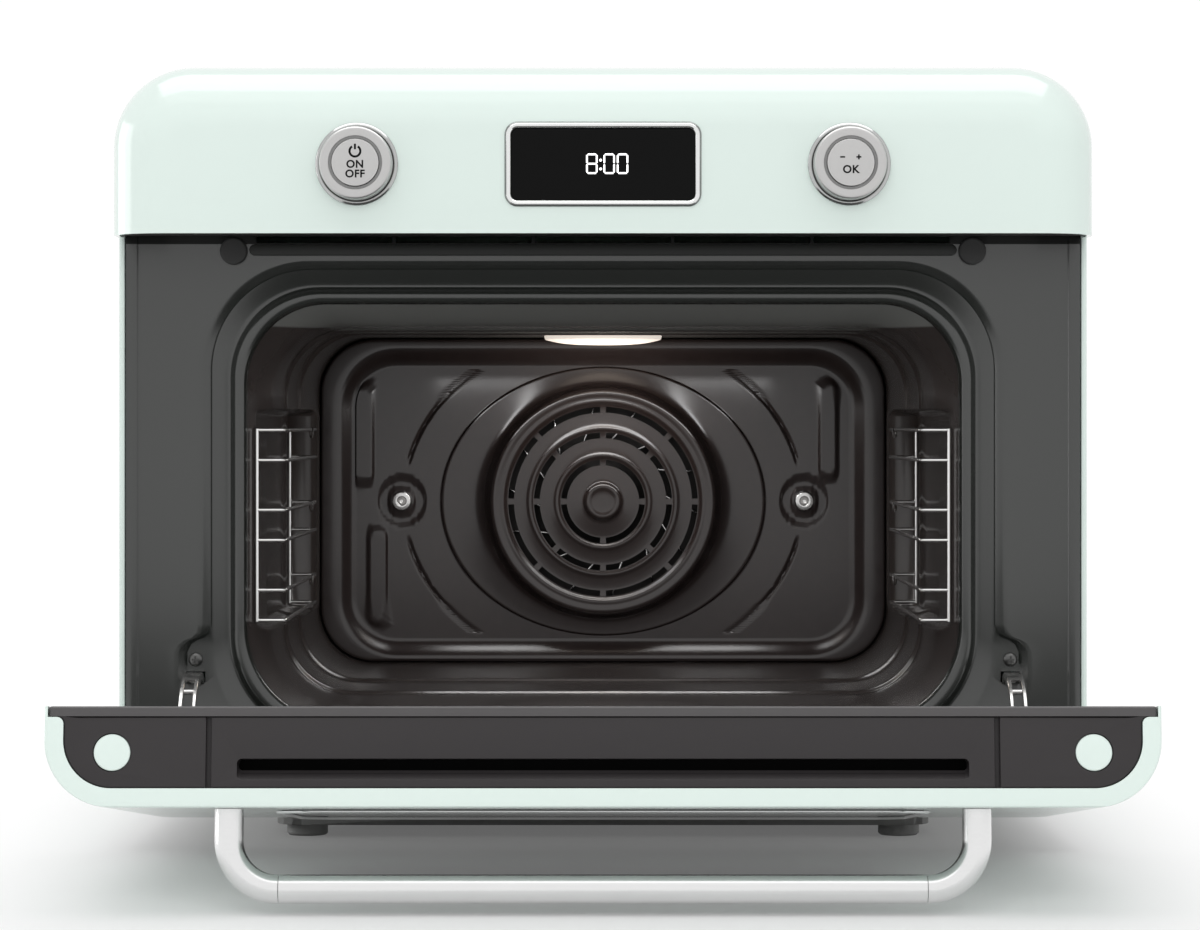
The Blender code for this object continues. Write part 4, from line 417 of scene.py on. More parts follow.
def place_piece(name, mesh, material, body, replaced=(), frame_of=CABINET, angle=32):
    """Moves a mesh from its drawing place to its own, and puts it on its body."""
    mesh.transform(frame_of)
    obj = finish_mesh(name, mesh, material, body, replaced, angle)
    DONE.update(replaced)


def dress(node, mesh, material, frame_of=CABINET, angle=32, name=None):
    """Puts a mesh in place of a node, on the node's body, with the given material."""
    place_piece(name or f"{node}_looks", mesh, material, BODY_OF[node], [node], frame_of, angle)


def smooth_copy(node):
    """A welded, smoothly shaded copy of a node of the solid model."""
    source = frame["nodes"][node]
    bm = bmesh.new()
    bm.from_mesh(source.data)
    bm.transform(source.matrix_world)
    bmesh.ops.remove_doubles(bm, verts=bm.verts, dist=0.000005)
    slot = SLOT_OF[node]
    material = PLINTH_GREY if node.startswith("foot_") else OWN_LOOKS.get(node, SLOTS[slot])
    obj = finish_mesh(f"{node}_looks", to_mesh(f"{node}_looks", bm), material, BODY_OF[node], [node], 34)


DONE = set()


# Outlines and shapes

def arc(centre, radius, start, end, steps):
    points = []
    for i in range(steps + 1):
        angle = math.radians(start + (end - start) * i / steps)
        points.append((centre[0] + radius * math.cos(angle), centre[1] + radius * math.sin(angle)))
    return points


def corner(centre, radius, start, steps):
    if radius <= 0:
        return [centre]
    return arc(centre, radius, start, start + 90, steps)


def rounded(half, low, high, radius_low, radius_high, steps=16, side=()):
    """A rectangle with round corners, anticlockwise from its upper right. Side gives extra points
    (height, half width) from the top down, which both sides take."""
    points = corner((half - radius_high, high - radius_high), radius_high, 0, steps)
    points += corner((radius_high - half, high - radius_high), radius_high, 90, steps)
    points += [(-width, height) for height, width in side]
    points += corner((radius_low - half, low + radius_low), radius_low, 180, steps)
    points += corner((half - radius_low, low + radius_low), radius_low, 270, steps)
    points += [(width, height) for height, width in reversed(side)]
    return points


def rounded_box(half_x, half_z, radius, centre=(0, 0), steps=12):
    points = rounded(half_x, -half_z, half_z, radius, radius, steps)
    return [(x + centre[0], z + centre[1]) for x, z in points]


def slot_outline(centre, half_x, half_z, steps=8):
    """A slot with round ends, a hair short of full half circles."""
    return rounded_box(half_x, half_z, min(half_x, half_z) * 0.98, centre, steps)


def circle(centre, radius, count=64):
    return arc(centre, radius, 0, 360, count)[:-1]


def at_depth(outline, depth):
    return [(x, depth, z) for x, z in outline]


def arch(offset, low, steps=24):
    """The casing's outline from its lower right, over the top, to its lower left."""
    radius = CORNER_RADIUS - offset
    half = HALF - offset
    high = HEIGHT - offset
    points = [(half, low)]
    points += arc((half - radius, high - radius), radius, 0, 90, steps)
    points += arc((radius - half, high - radius), radius, 90, 180, steps)
    return points + [(-half, low)]


def blend(start, end, share):
    return start + (end - start) * share


def smooth_step(low, high, value):
    share = min(1.0, max(0.0, (value - low) / (high - low)))
    return share * share * (3 - 2 * share)


def quarter_turn(radius, steps):
    """Inset and setback of each step round a quarter-round edge, from its side to its front."""
    turn = []
    for i in range(steps + 1):
        angle = math.pi / 2 * i / steps
        turn.append((radius * (1 - math.cos(angle)), radius * (1 - math.sin(angle))))
    return turn


def add_rows(bm, rings, loop=False, closed=True):
    """Faces from each ring of points to the next. Loop leads the last ring back to the first; a ring
    that isn't closed has a gap between its ends."""
    rows = [[bm.verts.new(point) for point in ring] for ring in rings]
    for near, far in zip(rows, rows[1:] + rows[:1] if loop else rows[1:]):
        for i in range(len(near) if closed else len(near) - 1):
            j = (i + 1) % len(near)
            bm.faces.new((near[i], near[j], far[j], far[i]))
    return rows


def turn_outward(bm):
    bm.normal_update()
    bmesh.ops.recalc_face_normals(bm, faces=bm.faces)


def loft_mesh(name, rings, caps=True, loop=False):
    """A mesh through a row of rings of equal count: capped, left open, or closed into a loop."""
    bm = bmesh.new()
    rows = add_rows(bm, rings, loop)
    if caps and not loop:
        bm.faces.new(rows[0])
        bm.faces.new(rows[-1])
    if caps or loop:
        turn_outward(bm)
    else:
        bm.normal_update()
    return to_mesh(name, bm)


ALONG = {
    "y": lambda a, b, t: (a, t, b),
    "z": lambda a, b, t: (a, b, t),
}


def plate_mesh(name, outlines, low, high, along="y", bevel=0.0):
    """A flat outline, with holes, thickened from low to high; bevel rounds its edges inside that."""
    data = bpy.data.curves.new(name, "CURVE")
    data.dimensions = "2D"
    data.fill_mode = "BOTH"
    data.extrude = (high - low) / 2 - bevel
    if bevel:
        data.bevel_depth = bevel
        data.bevel_resolution = 2
        data.offset = -bevel
    for outline in outlines:
        spline = data.splines.new("POLY")
        spline.points.add(len(outline) - 1)
        spline.use_cyclic_u = True
        for point, place in zip(spline.points, outline):
            point.co = (*place, 0, 1)
    bm = bmesh.new()
    bm.from_mesh(taken_mesh(linked_object(name, data)))
    bmesh.ops.remove_doubles(bm, verts=bm.verts, dist=0.000001)
    for vert in bm.verts:
        vert.co = ALONG[along](vert.co.x, vert.co.y, vert.co.z + (low + high) / 2)
    turn_outward(bm)
    return to_mesh(name, bm)


def turned_mesh(name, profile, place=(0, 0, 0), facing="front", steps=72):
    """A turned piece. The profile gives radius and height; height runs to the front, or up."""
    bm = bmesh.new()
    rows = []
    for i in range(steps):
        angle = math.tau * i / steps
        rows.append([bm.verts.new((r * math.cos(angle), r * math.sin(angle), h)) for r, h in profile])
    count = len(profile)
    closed = profile[0][0] > 0 and profile[-1][0] > 0
    for near, far in zip(rows, rows[1:] + rows[:1]):
        for i in range(count if closed else count - 1):
            j = (i + 1) % count
            bm.faces.new((near[i], far[i], far[j], near[j]))
    bmesh.ops.remove_doubles(bm, verts=bm.verts, dist=0.0000001)
    if facing == "front":
        bm.transform(Matrix.Rotation(math.pi / 2, 4, "X"))
    elif facing == "back":
        bm.transform(Matrix.Rotation(-math.pi / 2, 4, "X"))
    bm.transform(Matrix.Translation(place))
    turn_outward(bm)
    return to_mesh(name, bm)


def rounded_profile(corners, radius=0.0003, steps=4):
    """A profile whose corners are rounded; each corner may carry its own radius as a third value."""
    path = []
    count = len(corners)
    for i, here in enumerate(corners):
        size = here[2] if len(here) > 2 else radius
        point = Vector(here[:2])
        if i in (0, count - 1) or size <= 0:
            path.append(tuple(point))
            continue
        back = Vector(corners[i - 1][:2]) - point
        ahead = Vector(corners[i + 1][:2]) - point
        reach = min(size, back.length * 0.45, ahead.length * 0.45)
        start = point + back.normalized() * reach
        end = point + ahead.normalized() * reach
        for k in range(steps + 1):
            share = k / steps
            path.append(tuple(start * (1 - share) ** 2 + point * 2 * share * (1 - share) + end * share ** 2))
    return path


def add_cylinder(bm, start, axis, radius, length, segments=24):
    turn = Vector(axis).to_track_quat("Z", "Y").to_matrix().to_4x4()
    place = Matrix.Translation(start) @ turn @ Matrix.Translation((0, 0, length / 2))
    bmesh.ops.create_cone(bm, cap_ends=True, segments=segments, radius1=radius, radius2=radius, depth=length,
                          matrix=place)


def add_box(bm, low, high):
    size = Vector(high) - Vector(low)
    middle = (Vector(high) + Vector(low)) / 2
    bmesh.ops.create_cube(bm, size=1, matrix=Matrix.Translation(middle) @ Matrix.Diagonal((*size, 1)))


def box_mesh(name, low, high, bevel=0.0):
    bm = bmesh.new()
    add_box(bm, low, high)
    if bevel:
        bmesh.ops.bevel(bm, geom=bm.edges, offset=bevel, segments=2, affect="EDGES", profile=0.5)
    return to_mesh(name, bm)


def worked(mesh, *steps):
    """The mesh after a row of steps: a mesh to cut away, or (modifier type, settings)."""
    obj = linked_object("blank", mesh)
    helpers = []
    for step in steps:
        if isinstance(step, bpy.types.Mesh):
            helpers.append(linked_object("tool", step))
            modifier = obj.modifiers.new("cut", "BOOLEAN")
            modifier.operation = "DIFFERENCE"
            modifier.solver = "EXACT"
            modifier.object = helpers[-1]
        else:
            modifier = obj.modifiers.new("work", step[0])
            for key, value in step[1].items():
                setattr(modifier, key, value)
    return taken_mesh(obj, *helpers)


SOFT_EDGE = ("BEVEL", {
    "width": 0.0004, "segments": 2, "limit_method": "ANGLE", "angle_limit": math.radians(50),
})
THICK_SHEET = ("SOLIDIFY", {"thickness": SHEET, "offset": -1, "use_even_offset": True})


# Control panel, display and knobs

def rounded_front_mesh(name, front, back, low, high, offset, round_top, steps=14):
    """A solid with a flat front whose side edges, and upper or lower edge, roll back."""
    rings = []
    radius = EDGE_RADIUS - offset
    corner_radius = CORNER_RADIUS - offset
    roll = [(inset, front + offset + setback) for inset, setback in quarter_turn(radius, steps)]
    for inset, depth in [(0.0, back), *roll, (radius + PANEL_FLAT, front + offset)]:
        half = HALF - offset - inset
        turn = max(corner_radius - inset, FINE_BEND)
        if round_top:
            outline = rounded(half, low, high - inset, 0, turn, 14)
        else:
            outline = rounded(half, low + inset, high, turn, 0, 14)
        rings.append(at_depth(outline, depth))
    return loft_mesh(name, rings)


def display_outline(offset):
    return rounded_box(DISPLAY_HALF_X - offset, DISPLAY_HALF_Z - offset, DISPLAY_RADIUS - offset,
                       (0, CONTROLS_Z), 10)


def make_panel():
    panel = rounded_front_mesh("panel", PANEL_FRONT, -GAP, PANEL_BOTTOM, HEIGHT, 0, True)
    hollow = rounded_front_mesh("panel_hollow", PANEL_FRONT, PANEL_WALL, PANEL_BOTTOM - PANEL_WALL,
                                HEIGHT - PANEL_WALL, PANEL_WALL, True, 6)
    bores = bmesh.new()
    for _, sign in SIDES:
        add_cylinder(bores, (sign * KNOB_X, PANEL_FRONT - 0.003, CONTROLS_Z), (0, 1, 0), KNOB_BORE, 0.008, 64)
    window = plate_mesh("display_hole", [display_outline(0.0012)], PANEL_FRONT - 0.003, PANEL_FRONT + 0.006)
    mesh = worked(panel, hollow, to_mesh("knob_bores", bores), window)
    dress("control_panel", mesh, MINT, name="panel_looks")


def display_ring(section):
    """A frame round the display from a section of insets and depths."""
    return loft_mesh("display_ring", [at_depth(display_outline(o), d) for o, d in section], loop=True)


def make_display():
    """The one trim in two pieces: a bright inner line, and on its outer edge a darker copy of its steel that is
    painted shade.
    """
    front = PANEL_FRONT - 0.0015
    seat = PANEL_FRONT - GAP
    back = PANEL_FRONT + 0.0045
    rim = display_ring((
        (0.0008, seat), (0.0008, front + 0.0003), (0.0005, front + 0.0004), (0.0002, front + 0.0007),
        (0, front + 0.0011), (0, seat),
    ))
    # The trim's dark outer edge is painted shade.
    dress("display_trim", rim, TRIM_PAINTED_SHADE, name="display_rim_looks")
    trim = display_ring((
        (0.0030, seat + 0.001), (0.0030, front + 0.0009), (0.0026, front + 0.0004), (0.0020, front + 0.0001),
        (0.0015, front), (0.0011, front + 0.0001), (0.0009, front + 0.0003), (0.0009, seat),
        (0.0015, seat), (0.0015, back), (0.0030, back),
    ))
    dress("display_trim", trim, TRIM_STEEL)
    glass = plate_mesh("glass", [display_outline(0.0033)], seat, seat + 0.002, bevel=0.0003)
    dress("display_glass", glass, BLACK_GLASS)
    make_digits(seat)


def bar_outline(start, end, width):
    """A straight bar with pointed ends, as on a seven-segment digit."""
    start = Vector(start)
    end = Vector(end)
    along = (end - start).normalized()
    side = Vector((-along.y, along.x)) * width / 2
    near = along * width / 2
    return [tuple(p) for p in (start, start + near - side, end - near - side, end, end - near + side,
                               start + near + side)]


def digit_outlines(middle, figure):
    """The bars of one digit: upper, middle and lower, then left and right of the two halves."""
    x, z = DIGIT_HALF_X, DIGIT_HALF_Z
    bars = [((-x, z), (x, z)), ((-x, 0), (x, 0)), ((-x, -z), (x, -z)), ((-x, z), (-x, 0)), ((x, z), (x, 0)),
            ((-x, 0), (-x, -z)), ((x, 0), (x, -z))]
    if figure == "0":
        del bars[1]
    outlines = []
    for start, end in bars:
        start = Vector(start)
        end = Vector(end)
        along = (end - start).normalized() * BAR_APART
        outlines.append(bar_outline(start + along + Vector(middle), end - along + Vector(middle), BAR_WIDTH))
    return outlines


def make_digits(seat):
    outlines = []
    for x, figure in ((-0.0056, "8"), (0.0031, "0"), (0.0098, "0")):
        outlines += digit_outlines((x, CONTROLS_Z + 0.0002), figure)
    for z in (0.0020, -0.0024):
        outlines.append(circle((-0.0012, CONTROLS_Z + z), 0.0007, 16))
    mesh = plate_mesh("digits", outlines, seat - 0.0001, seat - 0.00002)
    place_piece("display_digits", mesh, DIGITS, "oven")


def knob_pieces(side, sign):
    """Bezel, knob and button of one control, and the grey ring between knob and button."""
    place = (sign * KNOB_X, PANEL_FRONT, CONTROLS_Z)
    bore = KNOB_RADIUS + GAP
    neck = KNOB_BORE - GAP
    wall = KNOB_RADIUS - 0.0016
    floor = KNOB_PROUD - 0.006
    under = floor + 0.0023
    top = KNOB_PROUD + 0.0005

    def turned(profile):
        return turned_mesh("turned", profile, place, steps=128)

    bezel = turned(rounded_profile([
        (bore, -0.005), (bore, 0.0017, 0.0003), (bore + 0.0006, 0.0020, 0.0003), (0.0202, 0.0015, 0.0006),
        (0.0208, 0.0009, 0.0004), (0.0208, GAP, 0), (neck, GAP, 0), (neck, -0.005),
    ]))
    dress(f"bezel_{side}", bezel, BEZEL_METAL)
    knob = turned(rounded_profile([
        (0.01345, KNOB_PROUD - 0.0008), (0.01345, KNOB_PROUD, 0.0002),
        (KNOB_RADIUS - 0.0003, KNOB_PROUD, 0.0016), (KNOB_RADIUS, 0.0005, 0), (KNOB_RADIUS, -0.001, 0),
        (wall, -0.001, 0), (wall, floor - 0.0016, 0), (0.0051, floor - 0.0016, 0), (0.0051, -0.0148, 0),
        (0.0035, -0.0148, 0), (0.0035, floor, 0), (0.0121, floor, 0), (0.0121, KNOB_PROUD - 0.0008),
    ]))
    dress(f"knob_{side}", knob, KNOB_METAL)
    ring = turned([
        (0.01215, KNOB_PROUD - 0.0006), (0.01340, KNOB_PROUD - 0.0006), (0.01340, KNOB_PROUD - 0.0009),
        (0.01215, KNOB_PROUD - 0.0009),
    ])
    place_piece(f"knob_ring_{side}", ring, GREY_RING, f"knob_{side}")
    button = turned(rounded_profile([
        (0, top), (0.0118, top, 0.0004), (0.0118, under, 0), (0.0015, under, 0), (0.0015, -0.0134, 0),
        (0, -0.0134),
    ]))
    dress(f"button_{side}", button, KNOB_METAL)
    make_marks(side, place)


def text_mesh(words, size, depth, place):
    """Flat letters, centred, facing the front."""
    data = bpy.data.curves.new("letters", "FONT")
    data.body = words
    data.size = size
    data.space_character = 1.08
    data.align_x = "CENTER"
    data.align_y = "CENTER"
    data.offset = size * 0.030
    data.extrude = depth / 2
    mesh = taken_mesh(linked_object("letters", data))
    mesh.transform(Matrix.Translation(place) @ Matrix.Rotation(math.pi / 2, 4, "X"))
    return mesh


def plus_outline(middle, reach, half):
    points = [
        (half, reach), (half, half), (reach, half), (reach, -half), (half, -half), (half, -reach),
        (-half, -reach), (-half, -half), (-reach, -half), (-reach, half), (-half, half), (-half, reach),
    ]
    return [(middle[0] + x, middle[1] + z) for x, z in points]


def make_marks(side, place):
    """Printed marks on a button: a power sign with plain words, or a minus, a plus and a word."""
    x, front, z = place
    front -= KNOB_PROUD + 0.0005 + TEXT_LIFT
    if side == "left":
        centre = (x, z + 0.0056)
        outlines = [
            arc(centre, 0.00215, 122, 418, 36) + arc(centre, 0.00325, 418, 122, 36),
            rounded_box(0.00052, 0.0014, 0.0002, (x, z + 0.0079), 3),
        ]
        words = (("ON", 0.0053, -0.0010), ("OFF", 0.0053, -0.0058))
    else:
        outlines = [
            rounded_box(SIGN_REACH, SIGN_HALF, 0.0001, (x - 0.0042, z + 0.0027), 3),
            plus_outline((x + 0.0039, z + 0.0027), SIGN_REACH, SIGN_HALF),
        ]
        words = (("OK", 0.0054, -0.0036),)
    parts = [plate_mesh("sign", outlines, front - PRINT_DEPTH, front)]
    for word, size, height in words:
        parts.append(text_mesh(word, size, PRINT_DEPTH, (x, front - PRINT_DEPTH / 2, z + height)))
    place_piece(f"button_marks_{side}", joined("marks", parts), PRINT, f"button_{side}")


make_panel()
make_display()
for side_name, side_sign in SIDES:
    knob_pieces(side_name, side_sign)


# Facade and casing

def facade_outline(offset):
    edge = INNER_HALF - offset
    high = HEIGHT - CASING_WALL - GAP - offset
    radius = CORNER_RADIUS - CASING_WALL - GAP - offset
    side = [(0.1165 - 0.0027 * i, edge) for i in range(6)]
    return rounded(edge, BODY_BOTTOM + offset, high, 0.004, radius, 24, side)


def mouth_ring(out, depth):
    half = MOUTH_HALF + out
    low = MOUTH_LOW - out
    radius = MOUTH_RADIUS_LOW + out * 0.4
    side = [(low + radius + 0.001 * (6 - i), half) for i in range(6)]
    points = rounded(half, low, MOUTH_HIGH + out, radius, MOUTH_RADIUS_HIGH + out * 0.6, 24, side)
    return at_depth(points, depth)


def step_ring(out, depth):
    """The pressed step; lower down it swings out past the hinge."""
    half = MOUTH_HALF + out
    wide = half + FLARE_OUT
    low = MOUTH_LOW - out
    radius = MOUTH_RADIUS_LOW - FLARE_OUT + out * 0.4
    points = rounded(half, low, MOUTH_HIGH + out, 0.001, MOUTH_RADIUS_HIGH + out * 0.6, 24)[:50]
    turn = [(half, 0.1175), (half + 0.0008, 0.1130), (half + 0.0034, 0.1106), (half + 0.0075, 0.1092),
            (half + 0.0106, 0.1070), (wide, 0.1030)]
    points += [(-x, z) for x, z in turn]
    points += corner((radius - wide, low + radius), radius, 180, 24)
    points += corner((wide - radius, low + radius), radius, 270, 24)
    points += turn[::-1]
    return at_depth(points, depth)


FOLD = 0.0010

# The lip's section round the mouth: distance out from the mouth's edge, and depth
FACADE_ROLL = (
    (0.0177, 0.0009), (0.0165, 0.0015), (0.0150, 0.0023), (0.0135, 0.0031), (0.0120, 0.0039), (0.0107, 0.0046),
    (0.0097, 0.0051), (0.0090, 0.0052), (0.0084, 0.0049), (0.0078, 0.0040), (0.0072, 0.0028), (0.0066, 0.0017),
    (0.0059, 0.0009), (0.0049, 0.0004), (0.0038, 0.0005), (0.0028, 0.0008), (0.0018, 0.0014), (0.0011, 0.0022),
    (0.0005, 0.0033), (0.0001, 0.0047), (0, 0.0060),
)


def facade_sheet():
    """One side of the pressed plate, from its folded edge in to the mouth."""
    low = FACADE_FLAT + STEP_DEPTH
    rings = [at_depth(facade_outline(0), 0.012), at_depth(facade_outline(0), SHEET)]
    rings += [at_depth(facade_outline(inset), setback) for inset, setback in quarter_turn(FOLD, 4)]
    for share in (0, 0.25, 0.5, 0.75, 1):
        rings.append(at_depth(facade_outline(RIM - 0.0012 + 0.0018 * share),
                              FACADE_FLAT * smooth_step(0, 1, share)))
    rings.append(step_ring(STEP_OUT + 0.0025, FACADE_FLAT))
    for share in (0, 0.06, 0.13, 0.21, 0.3, 0.4, 0.55, 0.7, 0.85, 1):
        rings.append(step_ring(STEP_OUT - 0.0046 * share, blend(FACADE_FLAT, low + 0.0004, share ** 1.4)))
    rings += [mouth_ring(out, low + depth) for out, depth in FACADE_ROLL]
    rings.append(mouth_ring(0, MOUTH_DEPTH))
    return loft_mesh("facade", rings, caps=False)


def make_facade():
    holes = bmesh.new()
    start = -0.002
    end = 0.025
    slot_half = 0.0086 / 2 + 0.0006
    for _, sign in SIDES:
        arm = sign * ARM_X
        lug = sign * LUG_MIDDLE
        add_box(holes, (arm - slot_half, start, ARM_SLOT_LOW), (arm + slot_half, end, ARM_SLOT_HIGH))
        add_box(holes, (lug - 0.00155, start, HINGE_Z - 0.0058), (lug + 0.00155, end, HINGE_Z + 0.0058))
        add_cylinder(holes, (sign * BUMPER_X, start, BUMPER_Z), (0, 1, 0), 0.0038, 0.008)
        add_cylinder(holes, (arm, start, HINGE_SCREW_Z), (0, 1, 0), 0.0021, 0.012)
    pitch = (2 * VENT_HALF + VENT_RIB) / 5
    wide = (pitch - VENT_RIB) / 2
    tall = VENT_TALL / 2
    vents = [rounded_box(wide, tall, 0.0012, ((i - 2) * pitch, VENT_LOW + tall), 5) for i in range(5)]
    vent_tool = plate_mesh("vents", vents, start, 0.008)
    mesh = worked(facade_sheet(), THICK_SHEET, to_mesh("holes", holes), vent_tool)
    dress("facade", mesh, FACADE_ENAMEL, angle=40)
    middle = VENT_LOW - 0.0006 - STRIP_HALF
    strip = plate_mesh("strip", [slot_outline((0, middle), VENT_HALF + 0.0035, STRIP_HALF)], -0.0003, 0.0012,
                       bevel=0.0005)
    # The strip is painted near black: painted shade under the control panel.
    dress("air_deflector", strip, PAINTED_SHADE_ENAMEL)


def make_bumpers():
    profile = rounded_profile([
        (0, 0.0026), (0.007, 0.0026, 0.0014), (0.007, -0.0012, 0), (0.0035, -0.0012, 0), (0.0035, -0.006, 0),
        (0, -0.006),
    ], 0.0004)
    for side, sign in SIDES:
        bumper = turned_mesh("bumper", profile, (sign * BUMPER_X, 0, BUMPER_Z), steps=48)
        dress(f"door_bumper_{side}", bumper, RUBBER)


def make_casing():
    """The wrap's front edge is a rounded hem; behind the hem the sheet is thin."""
    back = BODY_DEPTH - SHEET - GAP
    section = ((0, back), (0, 0.0012), (0.0003, 0.0004), (0.0010, 0), (0.0020, 0), (0.0027, 0.0004),
               (CASING_WALL, 0.0012), (CASING_WALL, HEM), (SHEET, HEM), (SHEET, back))
    bm = bmesh.new()
    arches = [at_depth(arch(offset, BODY_BOTTOM), depth) for offset, depth in section]
    rows = add_rows(bm, arches, loop=True, closed=False)
    bm.faces.new([row[0] for row in rows])
    bm.faces.new([row[-1] for row in rows])
    turn_outward(bm)
    dress("casing_wrap", to_mesh("wrap", bm), MINT)


make_facade()
make_bumpers()
make_casing()


# Cavity, racks, fan cover and fan

def section_ring(depth, half, low, high, radius_low, radius_high, alcove):
    """A ring of the liner; an alcove for the rack swings out of each side."""
    foot = max(ALCOVE_LOW, low + radius_low + 0.001)
    turns = [(share, smooth_step(0, 1, share)) for share in (0, 0.2, 0.4, 0.6, 0.8, 1)]
    side = [(ALCOVE_HIGH - ALCOVE_SLOPE * share, blend(half, alcove, turn)) for share, turn in turns]
    side += [(foot + ALCOVE_SLOPE * (1 - share), blend(alcove, half, turn)) for share, turn in turns]
    return at_depth(rounded(half, low, high, radius_low, radius_high, 16, side), depth)


def cavity_shape(depth, inward):
    """Half width, lower and upper edge and corner radius of the liner's inside at a depth."""
    share = (depth - CAVITY_START) / (CAVITY_DEPTH - CAVITY_START)
    return (blend(CAVITY_HALF, REAR_HALF, share) - inward, blend(CAVITY_LOW, REAR_LOW, share) + inward,
            blend(CAVITY_HIGH, REAR_HIGH, share) - inward, blend(CAVITY_RADIUS, REAR_RADIUS, share))


def cavity_ring(depth, inward=0.0, alcove=0.0):
    half, low, high, radius = cavity_shape(depth, inward)
    return section_ring(depth, half, low, high, radius, radius, blend(half, ALCOVE_HALF, alcove))


def make_cavity():
    start = MOUTH_DEPTH + GAP
    rings = []
    for share in (0, 0.12, 0.25, 0.4, 0.6, 0.8, 1):
        depth = blend(start, CAVITY_START, share)
        near = 1 - (1 - share) ** 1.15
        half = blend(MOUTH_HALF, CAVITY_HALF, near)
        rings.append(section_ring(
            depth, half, blend(MOUTH_LOW, CAVITY_LOW, near), blend(MOUTH_HIGH, CAVITY_HIGH, near),
            blend(MOUTH_RADIUS_LOW, CAVITY_RADIUS, near), blend(MOUTH_RADIUS_HIGH, CAVITY_RADIUS, near),
            blend(half, ALCOVE_HALF, smooth_step(0.1, 0.5, share)),
        ))
    for ridge in RIDGES:
        rings.append(cavity_ring(ridge - RIDGE_FOOT, 0, 1))
        for i in range(13):
            along = -1 + i / 6
            rise = RIDGE_RISE * smooth_step(0, 1, (1 - abs(along)) * 1.6)
            rings.append(cavity_ring(ridge + along * RIDGE_HALF, rise, 1))
        rings.append(cavity_ring(ridge + RIDGE_FOOT, 0, 1))
    for share in (0, 0.25, 0.5, 0.75, 1):
        rings.append(cavity_ring(ALCOVE_END + 0.008 * share, 0, 1 - smooth_step(0, 1, share)))
    rings.append(cavity_ring(CAVITY_DEPTH - 0.008))
    rings += [cavity_ring(CAVITY_DEPTH - setback, inset) for inset, setback in quarter_turn(REAR_BEND, 6)[1:]]
    rings.append([fan_point(SHAFT_HOLE, math.atan2(z - FAN_Z, x), depth) for x, depth, z in rings[-1]])
    liner = loft_mesh("liner", rings, caps=False)
    holes = bmesh.new()
    add_cylinder(holes, (0, LAMP_DEPTH, REAR_HIGH - HOLE_ROOM), (0, 0, 1), 0.025, 2 * HOLE_ROOM, 64)
    for _, sign in SIDES:
        heater_end = (sign * 0.012, CAVITY_DEPTH - 0.005, FAN_Z - 0.0725)
        add_cylinder(holes, heater_end, (0, 1, 0), 0.0035, HOLE_ROOM, 24)
    dress("cavity", worked(liner, THICK_SHEET, to_mesh("holes", holes)), LINER_ENAMEL, angle=50)


def rectangle_reach(angle, half, low, high, radius):
    """Distance from the fan's axis to a rounded rectangle in one direction."""
    middle = (low + high) / 2 - FAN_Z
    near, far = 0.0, 0.4
    for _ in range(40):
        reach = (near + far) / 2
        x = abs(reach * math.cos(angle)) - half + radius
        z = abs(reach * math.sin(angle) - middle) - (high - low) / 2 + radius
        inside = math.hypot(max(x, 0), max(z, 0)) + min(max(x, z), 0) - radius
        near, far = (near, reach) if inside > 0 else (reach, far)
    return near


def fan_point(reach, angle, depth):
    """The point at a distance and a direction from the fan's axis."""
    return (reach * math.cos(angle), depth, FAN_Z + reach * math.sin(angle))


def ellipse_reach(angle, half_x, half_z):
    return 1 / math.hypot(math.cos(angle) / half_x, math.sin(angle) / half_z)


def box_distance(x, z, box, radius):
    """Distance to a rounded box given by its left, right, lower and upper edge; less than nought inside."""
    across = abs(x - (box[0] + box[1]) / 2) - (box[1] - box[0]) / 2 + radius
    up = abs(z - (box[2] + box[3]) / 2) - (box[3] - box[2]) / 2 + radius
    return math.hypot(max(across, 0), max(up, 0)) + min(max(across, up), 0) - radius


# Left, right, lower and upper edge of each pressed pad of the cover's panel
PADS = ((-0.1468, -0.1345, 0.1855, 0.2445), (-0.1378, -0.1266, 0.1029, 0.1597),
        (0.1266, 0.1375, 0.1890, 0.2460))


def cover_relief(x, z):
    """Depth that the pressed pads, arc grooves and screw recesses add to the cover's panel."""
    relief = 0.0
    for pad in PADS:
        relief -= PAD_RISE * (1 - smooth_step(-0.0014, 0.0010, box_distance(x, z, pad, 0.0045)))
    up = z - FAN_Z
    ring = math.hypot(x / GROOVE_HALF_X, up / GROOVE_HALF_Z)
    turn = math.degrees(math.atan2(abs(up) / GROOVE_HALF_Z, abs(x) / GROOVE_HALF_X))
    ends = smooth_step(13, 14.5, turn) * (1 - smooth_step(50, 51.5, turn))
    relief += GROOVE_SINK * ends * (1 - smooth_step(0.0002, 0.0013, abs(ring - 1) * 0.108))
    away = math.hypot(abs(x) - COVER_SCREW_X, up)
    relief += GROOVE_SINK * smooth_step(0.0072, 0.0084, away) * (1 - smooth_step(0.0130, 0.0145, away))
    return relief


